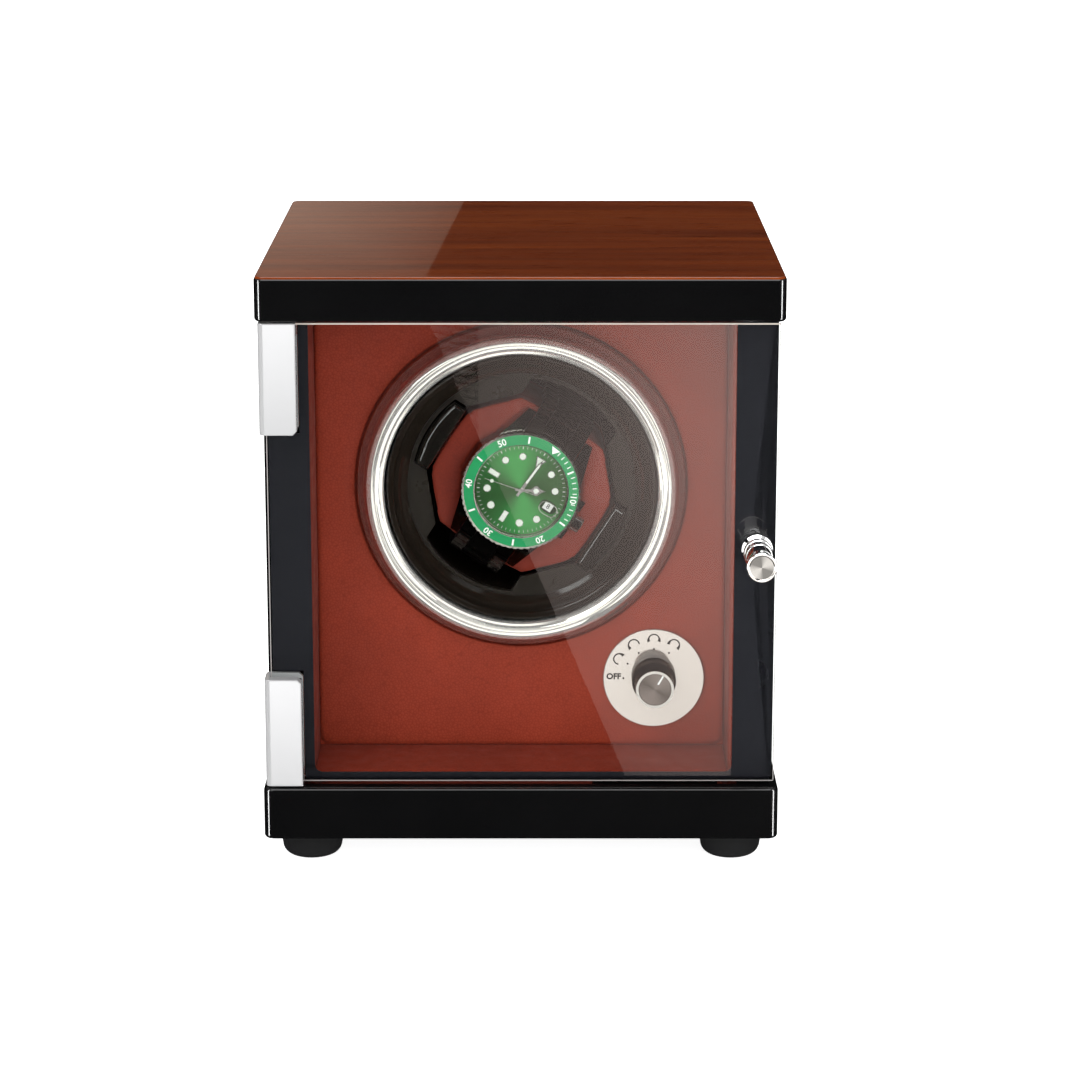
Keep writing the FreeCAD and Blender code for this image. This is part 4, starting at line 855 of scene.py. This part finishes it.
def hands():
    """Hands with a steel edge and a pale filling, and the post they turn on."""
    hour_turn, minute_turn, second_turn = 61, 3, 256
    hour_y, minute_y, second_y = 37.5, 37.15, 36.8
    thick, raised = 0.16, 0.05
    hour_plate = hand(hour_turn, hour_y, hour_y + thick,
                      [(-0.45, -2), (0.45, -2), (0.45, 3.4), (1.7, 4.6), (1.7, 5.6), (0.55, 6.9), (0, 8.6),
                       (-0.55, 6.9), (-1.7, 5.6), (-1.7, 4.6), (-0.45, 3.4)])
    hour_fill = hand(hour_turn, hour_y - raised, hour_y,
                     [(-0.9, 4.7), (0, 4.1), (0.9, 4.7), (0.9, 5.5), (0, 6.3), (-0.9, 5.5)])
    minute_plate = hand(minute_turn, minute_y, minute_y + thick,
                        [(-0.5, -2.4), (0.5, -2.4), (0.62, 10.8), (0, 12.9), (-0.62, 10.8)])
    minute_fill = hand(minute_turn, minute_y - raised, minute_y,
                       [(-0.3, 3), (0.3, 3), (0.36, 10.4), (0, 11.8), (-0.36, 10.4)])
    second_plate = hand(second_turn, second_y, second_y + thick,
                        [(-0.12, -4.4), (0.12, -4.4), (0.1, 13.2), (-0.1, 13.2)])
    a, reach = math.radians(90 - second_turn), 10.6 * MM
    dot = disc(reach * math.cos(a), reach * math.sin(a), 0.62 * MM, 36.75 * MM, 36.85 * MM)
    post = disc(0, 0, 0.75 * MM, 36.6 * MM, 38.1 * MM)
    piece("watch_hand_plates", *merged([hour_plate, minute_plate, second_plate, post]), LOOKS["hand_steel"],
          "pillow", "watch_hands", "hand_steel", UPRIGHT)
    on_dial("watch_hand_lume", merged([hour_fill, minute_fill, dot]), LUME)


def insert_marks():
    """Printed scale on the sloping insert."""
    inner, outer = 16.4 * MM, 19.7 * MM
    low, high = -0.03 * MM, 0.03 * MM

    def on_cone(points):
        lifted = []
        for x, y, z in points:
            share = (math.hypot(x, z) - inner) / (outer - inner)
            lifted.append((x, y + (34.97 + 0.55 * share) * MM, z))
        return lifted
    parts = []
    figures = 18.05 * MM
    for n, label in ((2, "10"), (4, "20"), (6, "30"), (8, "40"), (10, "50")):
        a = math.radians(hour(n))
        parts.append(lettering(label, 3.1 * MM, figures * math.cos(a), figures * math.sin(a), low, high,
                               hour(n) - 90, 0.04 * MM))
    for n in (1, 3, 5, 7, 9, 11):
        parts.append(bar(0, 0, hour(n), 17.0 * MM, 19.3 * MM, 0.62 * MM, low, high))
    for i in range(1, 15):
        if i % 5:
            parts.append(bar(0, 0, 90 - 6 * i, 17.7 * MM, 19.1 * MM, 0.3 * MM, low, high))
    parts.append(slab([(-1.7 * MM, 19.15 * MM), (1.7 * MM, 19.15 * MM), (0, 16.9 * MM)], low, high))
    verts, faces = merged(parts)
    one_click = Matrix.Rotation(math.radians(6), 4, "Y")
    piece("insert_scale", on_cone(verts), faces, WHITE_PRINT, "pillow", slot="insert_green",
          place=UPRIGHT @ one_click)


def loop_spot(s, half_y, half_z, corner):
    """Point and direction at length s from the front middle, on a rounded rectangle in depth and height."""
    up, back, bend = half_z - corner, half_y - corner, math.pi / 2 * corner
    runs = [up, bend, 2 * back, bend, 2 * up, bend, 2 * back, bend, up]
    starts = [((-half_y, 0), 90), ((-half_y, up), 90), ((-back, half_z), 0), ((back, half_z), 0),
              ((half_y, up), -90), ((half_y, -up), -90), ((back, -half_z), 180), ((-back, -half_z), 180),
              ((-half_y, -up), 90)]
    for run, ((y, z), heading) in zip(runs, starts):
        if s <= run:
            break
        s -= run
    head = math.radians(heading)
    if run != bend:
        return Vector((y + s * math.cos(head), z + s * math.sin(head))), head
    turned = head - s / corner
    centre = Vector((y, z)) + corner * Vector((math.sin(head), -math.cos(head)))
    return centre + corner * Vector((-math.sin(turned), math.cos(turned))), turned


def link(point, head, reach, x0, x1, middle_y):
    """One link, with eased edges, at a point of the loop, in millimetres."""
    thick, ease, inset, slope = 1.35, 0.38, 0.35, 0.3
    along = Vector((math.cos(head), math.sin(head)))
    out = Vector((-along.y, along.x))
    shape = [(-reach, -thick), (-reach, thick - ease), (-reach + ease, thick), (reach - ease, thick),
             (reach, thick - ease), (reach, -thick)]
    verts = []
    for lower, x in ((inset, x0), (0, x0 + slope), (0, x1 - slope), (inset, x1)):
        for a, b in shape:
            at = point + along * a + out * min(b, thick - lower)
            verts.append((x * MM, (middle_y + at.x) * MM, at.y * MM))
    n = len(shape)
    faces = [tuple(range(n)), tuple(range(4 * n - 1, 3 * n - 1, -1))]
    for row in range(3):
        for k in range(n):
            a, b = row * n + k, row * n + (k + 1) % n
            faces.append((a, b, b + n, a + n))
    return verts, faces


def bracelet():
    """Three rows of links round the pillow, from lug to lug behind it, and the two end links."""
    front, back, clear = 43.1, 86.6, 1.4
    half_y, half_z, corner = (back - front) / 2 + clear, 28.5 + clear, 6.4
    middle_y = (back + front) / 2
    total = 4 * (half_z - corner) + 4 * (half_y - corner) + 2 * math.pi * corner
    count = 26
    pitch = total / count
    parts = []
    for i in range(count):
        for column, (x0, x1) in enumerate(((-9.8, -4.9), (-4.75, 4.75), (4.9, 9.8))):
            middle = column == 1
            point, head = loop_spot(((i + (1.0 if middle else 0.5)) * pitch) % total, half_y, half_z, corner)
            under_watch = point.x < 0 and abs(point.y) < (21.5 if middle else 23.0)
            if not under_watch:
                parts.append(link(point, head, pitch / 2 - 0.12, x0, x1, middle_y))
    case_r, end_z = 19.75, 23.1
    for sign in (1, -1):
        outline = [(x, sign * math.sqrt(case_r ** 2 - x * x)) for x in (-9.8, -7, -4, 0, 4, 7, 9.8)]
        outline += [(9.8, sign * end_z), (-9.8, sign * end_z)]
        parts.append(slab([(x * MM, z * MM) for x, z in outline], 40.6 * MM, 43.0 * MM))
    piece("bracelet_links", *merged(parts), LOOKS["bracelet_dark"], "pillow", "watch_bracelet",
          "bracelet_dark", UPRIGHT, 25)


# ---------------------------------------------------------------------------------------------
# Selector
# ---------------------------------------------------------------------------------------------
def selector_marks():
    """Print round the knob: OFF, a dot for each place, and the arcs of the four turning modes."""
    y1 = SELECTOR.y
    y0 = y1 - 0.06 * MM
    x, z = SELECTOR.x, SELECTOR.z
    dots, symbols = 10.6 * MM, 14.0 * MM
    parts = [lettering("OFF", 2.9 * MM, x - symbols, z + 0.6 * MM, y0, y1, 0, 0.11 * MM)]
    for angle in (180, 150, 120, 90, 60):
        a = math.radians(angle)
        parts.append(disc(x + dots * math.cos(a), z + dots * math.sin(a), 0.34 * MM, y0, y1, 18))

    def ends(first, last):
        """Widens the marked ends of an arc to arrow heads."""
        def taper(share):
            swell = 1.0
            if first and share < 0.22:
                swell = 2.5 - 6.8 * share
            if last and share > 0.78:
                swell = 2.5 - 6.8 * (1 - share)
            return max(swell, 1.0)
        return taper
    for angle, first, last in ((150, True, False), (120, False, True), (90, True, True), (60, True, True)):
        a = math.radians(angle)
        cx, cz = x + symbols * math.cos(a), z + symbols * math.sin(a)
        parts.append(band(cx, cz, 1.9 * MM, 0.44 * MM, angle - 112, angle + 112, y0, y1, 34,
                          ends(first, last)))
    piece("selector_print", *merged(parts), PRINT, "cabinet", slot="selector_plate")
    halves = [band(CAP.x, CAP.z, 6.15 * MM, 0.8 * MM, turn, turn + 180, KNOB_FRONT - 0.06 * MM,
                   KNOB_FRONT + 0.3 * MM, 36) for turn in (0, 180)]
    piece("knob_rim", *merged(halves), RIM, "selector", slot="knob_chrome")
    line = bar(CAP.x, CAP.z, 60, 2.1 * MM, 5.6 * MM, 0.62 * MM, CAP.y - 0.06 * MM, CAP.y + 0.1 * MM)
    piece("knob_pointer", *line, WHITE_PRINT, "selector", slot="knob_cap")


def edge_highlights_and_margin_shade():
    """Pale seamed edge round the front of the door glass, partly its own paleness and partly painted
    highlight, brighter along the top as painted highlight; and black strips below and along the glass's
    bottom as painted shade in the gap under it.
    """
    low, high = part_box("door_glass")
    wide, y0, y1 = 0.25 * MM, low[1] - 0.02 * MM, low[1] + 0.4 * MM
    sides = [(low[0], high[0], low[2], low[2] + wide), (low[0], low[0] + wide, low[2], high[2]),
             (high[0] - wide, high[0], low[2], high[2])]
    parts = [slab([(x0, z0), (x1, z0), (x1, z1), (x0, z1)], y0, y1) for x0, x1, z0, z1 in sides]
    # pale strips round the glass: partly the ground edge's own paleness, partly painted highlight
    piece("glass_ground_edges_and_highlights", *merged(parts), GROUND_EDGE_AND_HIGHLIGHT, "door", slot="door_glass")
    # brighter strip along the top of the glass: painted highlight
    level = high[2] - 0.45 * MM
    corners = [(low[0], level), (high[0], level), (high[0], high[2]), (low[0], high[2])]
    piece("glass_top_edge_highlight", *slab(corners, y0, y1), TOP_EDGE_HIGHLIGHT, "door", slot="door_glass")
    # a thin black sheet under the glass and a black strip over its clear bottom edge: painted shade in the
    # gap below the glass
    mask_low, mask_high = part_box("door_mask")
    start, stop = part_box("hinge_clamp_lower")[1][0] + 0.5 * MM, high[0] - 1.2 * MM
    under = [(start, low[2] - 0.03 * MM), (stop, low[2] - 0.03 * MM), (stop, low[2]), (start, low[2])]
    margin = [(start, low[2]), (stop, low[2]), (stop, mask_low[2]), (start, mask_low[2])]
    parts = [slab(under, low[1] + 0.4 * MM, high[1]), slab(margin, mask_low[1], mask_high[1])]
    piece("mask_margin_shade_strip", *merged(parts), LOOKS["mask_black"], "door", slot="mask_black")


face_leather()
lining()
cushion()
dial_marks()
date_marks()
hands()
insert_marks()
bracelet()
selector_marks()
edge_highlights_and_margin_shade()


# ---------------------------------------------------------------------------------------------
# Stage, light and camera
# ---------------------------------------------------------------------------------------------
def receivers(obj, names):
    """Keep an emitter's light to some nodes or pieces."""
    group = bpy.data.collections.new(obj.name + "_sees")
    for name in names:
        group.objects.link(NODES[name] if name in NODES else bpy.data.objects[name])
    obj.light_linking.receiver_collection = group


def emitter(name, corners, strength, color=(1, 1, 1), faces=None, levels=None, seen_by=None):
    """Card that only mirrors see: levels dims it point by point, seen_by keeps it to some nodes."""
    mesh = bpy.data.meshes.new(name)
    mesh.from_pydata(corners, [], faces or [tuple(range(len(corners)))])
    obj = bpy.data.objects.new(name, mesh)
    bpy.context.scene.collection.objects.link(obj)
    mat = bpy.data.materials.new(name)
    mat.use_nodes = True
    mat.node_tree.nodes.clear()
    glow = mat.node_tree.nodes.new("ShaderNodeEmission")
    glow.inputs["Color"].default_value = (*color, 1)
    glow.inputs["Strength"].default_value = strength
    out = mat.node_tree.nodes.new("ShaderNodeOutputMaterial")
    mat.node_tree.links.new(glow.outputs[0], out.inputs["Surface"])
    if levels:
        share = mesh.attributes.new("level", "FLOAT", "POINT")
        share.data.foreach_set("value", levels)
        read = mat.node_tree.nodes.new("ShaderNodeAttribute")
        read.attribute_name = "level"
        mat.node_tree.links.new(read.outputs["Fac"], glow.inputs["Strength"])
    mesh.materials.append(mat)
    if seen_by:
        receivers(obj, seen_by)
    obj.visible_camera = obj.visible_diffuse = obj.visible_shadow = False
    obj.visible_transmission = obj.visible_volume_scatter = False
    return obj


def softbox(name, at, toward, size, power, glossy=True, seen_by=None):
    """Square light that faces a point. seen_by keeps it to some nodes."""
    light = bpy.data.lights.new(name, "AREA")
    light.energy = power
    light.size = size
    obj = bpy.data.objects.new(name, light)
    bpy.context.scene.collection.objects.link(obj)
    obj.location = at
    obj.rotation_euler = (Vector(toward) - Vector(at)).to_track_quat("-Z", "Y").to_euler()
    obj.visible_glossy = glossy
    if seen_by:
        receivers(obj, seen_by)


CHROME = ("bezel_ring", "watch_bezel", "watch_hand_plates", "dial_marker_rims", "date_lens_rim")
MIRRORS = CHROME + ("door_pull",)
CAMERA = Vector((0.00649, FRONT - 1.0722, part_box("top_veneer")[1][2] + 0.17555))


GLASS_CARD = -0.85


def in_glass(points, away):
    """Where a card at depth away must stand to be mirrored at (x, z) points of the door glass."""
    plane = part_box("door_glass")[0][1]
    share = (plane - away) / (plane - CAMERA.y)
    return [(x + share * (x - CAMERA.x), away, z + share * (z - CAMERA.z)) for x, z in points]


def in_top(points, away):
    """The same for (x, y) points of the top, with the card standing behind the box."""
    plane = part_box("top_veneer")[1][2]
    corners = []
    for x, y in points:
        share = (away - y) / (y - CAMERA.y)
        corners.append((x + share * (x - CAMERA.x), away, plane + share * (CAMERA.z - plane)))
    return corners


def lay_floor():
    mesh = bpy.data.meshes.new("floor")
    mesh.from_pydata([(-6, -6, 0), (6, -6, 0), (6, 9, 0), (-6, 9, 0)], [], [(0, 1, 2, 3)])
    floor = bpy.data.objects.new("floor", mesh)
    bpy.context.scene.collection.objects.link(floor)
    mesh.materials.append(plain("white_floor", (0.93, 0.93, 0.93), 0.6, change=0.004, bump=0.0,
                                Emission_Color=(1, 1, 1, 1), Emission_Strength=0.9))
    floor.visible_glossy = False


def light_world():
    """White to the camera, even light on matt surfaces, and a dark room for what mirrors."""
    world = bpy.data.worlds.new("studio")
    bpy.context.scene.world = world
    world.use_nodes = True
    nodes, links = world.node_tree.nodes, world.node_tree.links
    nodes.clear()

    def background(strength):
        made = nodes.new("ShaderNodeBackground")
        made.inputs["Color"].default_value = (1, 1, 1, 1)
        made.inputs["Strength"].default_value = strength
        return made

    def choose(ray, otherwise, shown):
        made = nodes.new("ShaderNodeMixShader")
        links.new(rays.outputs[ray], made.inputs[0])
        links.new(otherwise.outputs[0], made.inputs[1])
        links.new(shown.outputs[0], made.inputs[2])
        return made
    out = nodes.new("ShaderNodeOutputWorld")
    rays = nodes.new("ShaderNodeLightPath")
    direction = nodes.new("ShaderNodeTexCoord")
    split = nodes.new("ShaderNodeSeparateXYZ")
    links.new(direction.outputs["Generated"], split.inputs[0])
    height = nodes.new("ShaderNodeMapRange")
    links.new(split.outputs["Z"], height.inputs["Value"])
    height.inputs["From Min"].default_value = -1
    ramp = nodes.new("ShaderNodeValToRGB")
    links.new(height.outputs[0], ramp.inputs["Fac"])
    stops = ramp.color_ramp.elements
    for element, (position, value) in zip([stops[0], stops[1], stops.new(0.5), stops.new(0.72)],
                                          ((0.0, 0.02), (1.0, 0.5), (0.5, 0.008), (0.72, 0.006))):
        element.position = position
        element.color = (value, value, value, 1)
    room = background(1.0)
    links.new(ramp.outputs["Color"], room.inputs["Color"])
    lit = choose("Is Glossy Ray", background(0.8), room)
    links.new(choose("Is Camera Ray", lit, background(1.0)).outputs[0], out.inputs["Surface"])


def place_softboxes():
    middle = (0, 0, 0.1)
    softbox("key", (-0.7, -0.9, 1.1), middle, 0.9, 7.0)
    softbox("fill", (0.75, -1.0, 0.55), middle, 0.7, 3.0, glossy=False)
    softbox("front", (0.05, -1.5, 0.55), middle, 0.7, 4.5, glossy=False)
    softbox("back", (0.2, 1.2, 0.9), middle, 0.9, 5.0, glossy=False)
    softbox("low", (0.012, -0.16, 0.05), (0.012, 0, 0.05), 0.05, 0.075, glossy=False,
            seen_by=("face_leather_pad",))
    softbox("lining_light", (0.0, -0.5, 0.6), (0, 0, 0.03), 0.3, 0.9,
            seen_by=("end_leather_pads", "side_leather_pads"))
    softbox("mask_light", (0.25, -0.33, 0.1), (0.075, FRONT, 0.1), 0.1, 0.8, glossy=False,
            seen_by=("door_mask",))
    softbox("side", (0.45, -0.75, 0.2), (0, 0, AXIS.z), 0.3, 4.5, seen_by=("pillow_leather",))


def ladder(heights, left, right):
    """(x, z) points, faces and levels of an upright card, from (z, level) pairs."""
    points = [(x, z) for z, level in heights for x in (left, right)]
    faces = [(2 * i, 2 * i + 1, 2 * i + 3, 2 * i + 2) for i in range(len(heights) - 1)]
    return points, faces, [level for z, level in heights for x in (left, right)]


def window_card():
    """The bright window mirrored in the glass. Its left edge leans, and it fades to the left and below."""
    rows, columns = 8, 10
    top, height = AXIS.z + 63.5 * MM, 155.9 * MM
    start, lean, right = -29.8 * MM, 65.3 * MM, 71.5 * MM
    spots, levels = [], []
    for i in range(rows + 1):
        down = i / rows
        left = start + lean * down
        fade = 1 - 0.6 * max(0, down - 0.3) / 0.7
        for j in range(columns + 1):
            x = left + (right - left) * j / columns
            spots.append((x, top - height * down))
            across = (x + 30 * MM) / (right + 30 * MM)
            levels.append((0.95 + 2.6 * across ** 1.5) * fade)
    n = columns + 1
    quads = [(i * n + j, i * n + j + 1, (i + 1) * n + j + 1, (i + 1) * n + j)
             for i in range(rows) for j in range(columns)]
    emitter("window_card", in_glass(spots, GLASS_CARD), 1.0, (1, 0.83, 0.77), quads, levels,
            ("door_glass", "door_pull"))


def big_cards():
    """Cards for the slabs' edges and top, and for the chrome."""
    shells = ("top_slab", "base_slab")
    for side in (-1, 1):
        corner_card = [(side * 0.84, -0.5, -0.4), (side * 0.84, -0.5, 0.9), (side * 0.95, -0.28, 0.9),
                       (side * 0.95, -0.28, -0.4)]
        emitter("corner_card", corner_card, 52.0, seen_by=shells)
        side_card = [(side * 0.9, -0.8, -0.3), (side * 0.9, -0.8, 1.0), (side * 0.9, 0.3, 1.0),
                     (side * 0.9, 0.3, -0.3)]
        emitter("side_card", side_card, 2.2, seen_by=MIRRORS)
    emitter("over_card", [(-0.5, -0.9, 1.2), (0.5, -0.9, 1.2), (0.5, 0.2, 1.2), (-0.5, 0.2, 1.2)], 5.0,
            seen_by=shells + ("top_veneer", "door_pull"))
    window_card()
    near, far = FRONT - 2 * MM, FRONT + 184 * MM
    emitter("top_card", in_top([(-0.031, near), (-0.022, far), (-0.1, far), (-0.1, near)], 0.9), 0.3,
            (1, 0.84, 0.68), levels=(0.12, 0.15, 0.48, 0.28))
    points, faces, levels = ladder(((-1.3, 1.5), (0.3, 1.4), (0.8, 0.6), (1.7, 0.35)), -1.7, 1.7)
    emitter("front_card", [(x, -1.35, z) for x, z in points], 1.0, (1, 0.95, 0.89), faces, levels, MIRRORS)


def small_cards():
    """Cards for the selector, the clamps, and the pillow's ends."""
    y, reach = PLATE_LOW[1] - 20 * MM, 4 * MM
    x0, x1 = PLATE_LOW[0] - reach, PLATE_HIGH[0] + reach
    z0, z1 = PLATE_LOW[2] - 2 * reach, PLATE_HIGH[2] + reach
    emitter("plate_card", [(x0, y, z0), (x1, y, z0), (x1, y, z1), (x0, y, z1)], 0.92, (1, 0.99, 0.97),
            seen_by=("selector_plate", "selector_knob", "knob_cap"))
    for clamp in ("hinge_clamp_upper", "hinge_clamp_lower"):
        low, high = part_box(clamp)
        heights = ((low[2] - 30 * MM, 0.2), (low[2], 0.45), (high[2], 1.8), (high[2] + 30 * MM, 2.1))
        points, faces, levels = ladder(heights, low[0] - 60 * MM, high[0] + 60 * MM)
        emitter("clamp_card", in_glass(points, GLASS_CARD), 1.0, faces=faces, levels=levels, seen_by=(clamp,))
    for side in (-1, 1):
        spark_card = [(side * 0.3, -0.95, -0.05), (side * 0.5, -0.85, -0.05), (side * 0.5, -0.85, 0.5),
                      (side * 0.3, -0.95, 0.5)]
        emitter("spark_card", spark_card, 5.0, seen_by=("pillow_end_caps", "watch_bracelet"))


def place_camera():
    camera = bpy.data.cameras.new("camera")
    camera.lens = 110.5
    camera.sensor_width = 36
    camera.clip_end = 40
    holder = bpy.data.objects.new("camera", camera)
    scene = bpy.context.scene
    scene.collection.objects.link(holder)
    holder.location = CAMERA
    holder.rotation_euler = (math.radians(90 - 13.83), 0, 0)
    scene.camera = holder
    scene.view_settings.view_transform = "Standard"
    scene.view_settings.look = "None"


lay_floor()
light_world()
place_softboxes()
big_cards()
small_cards()
place_camera()
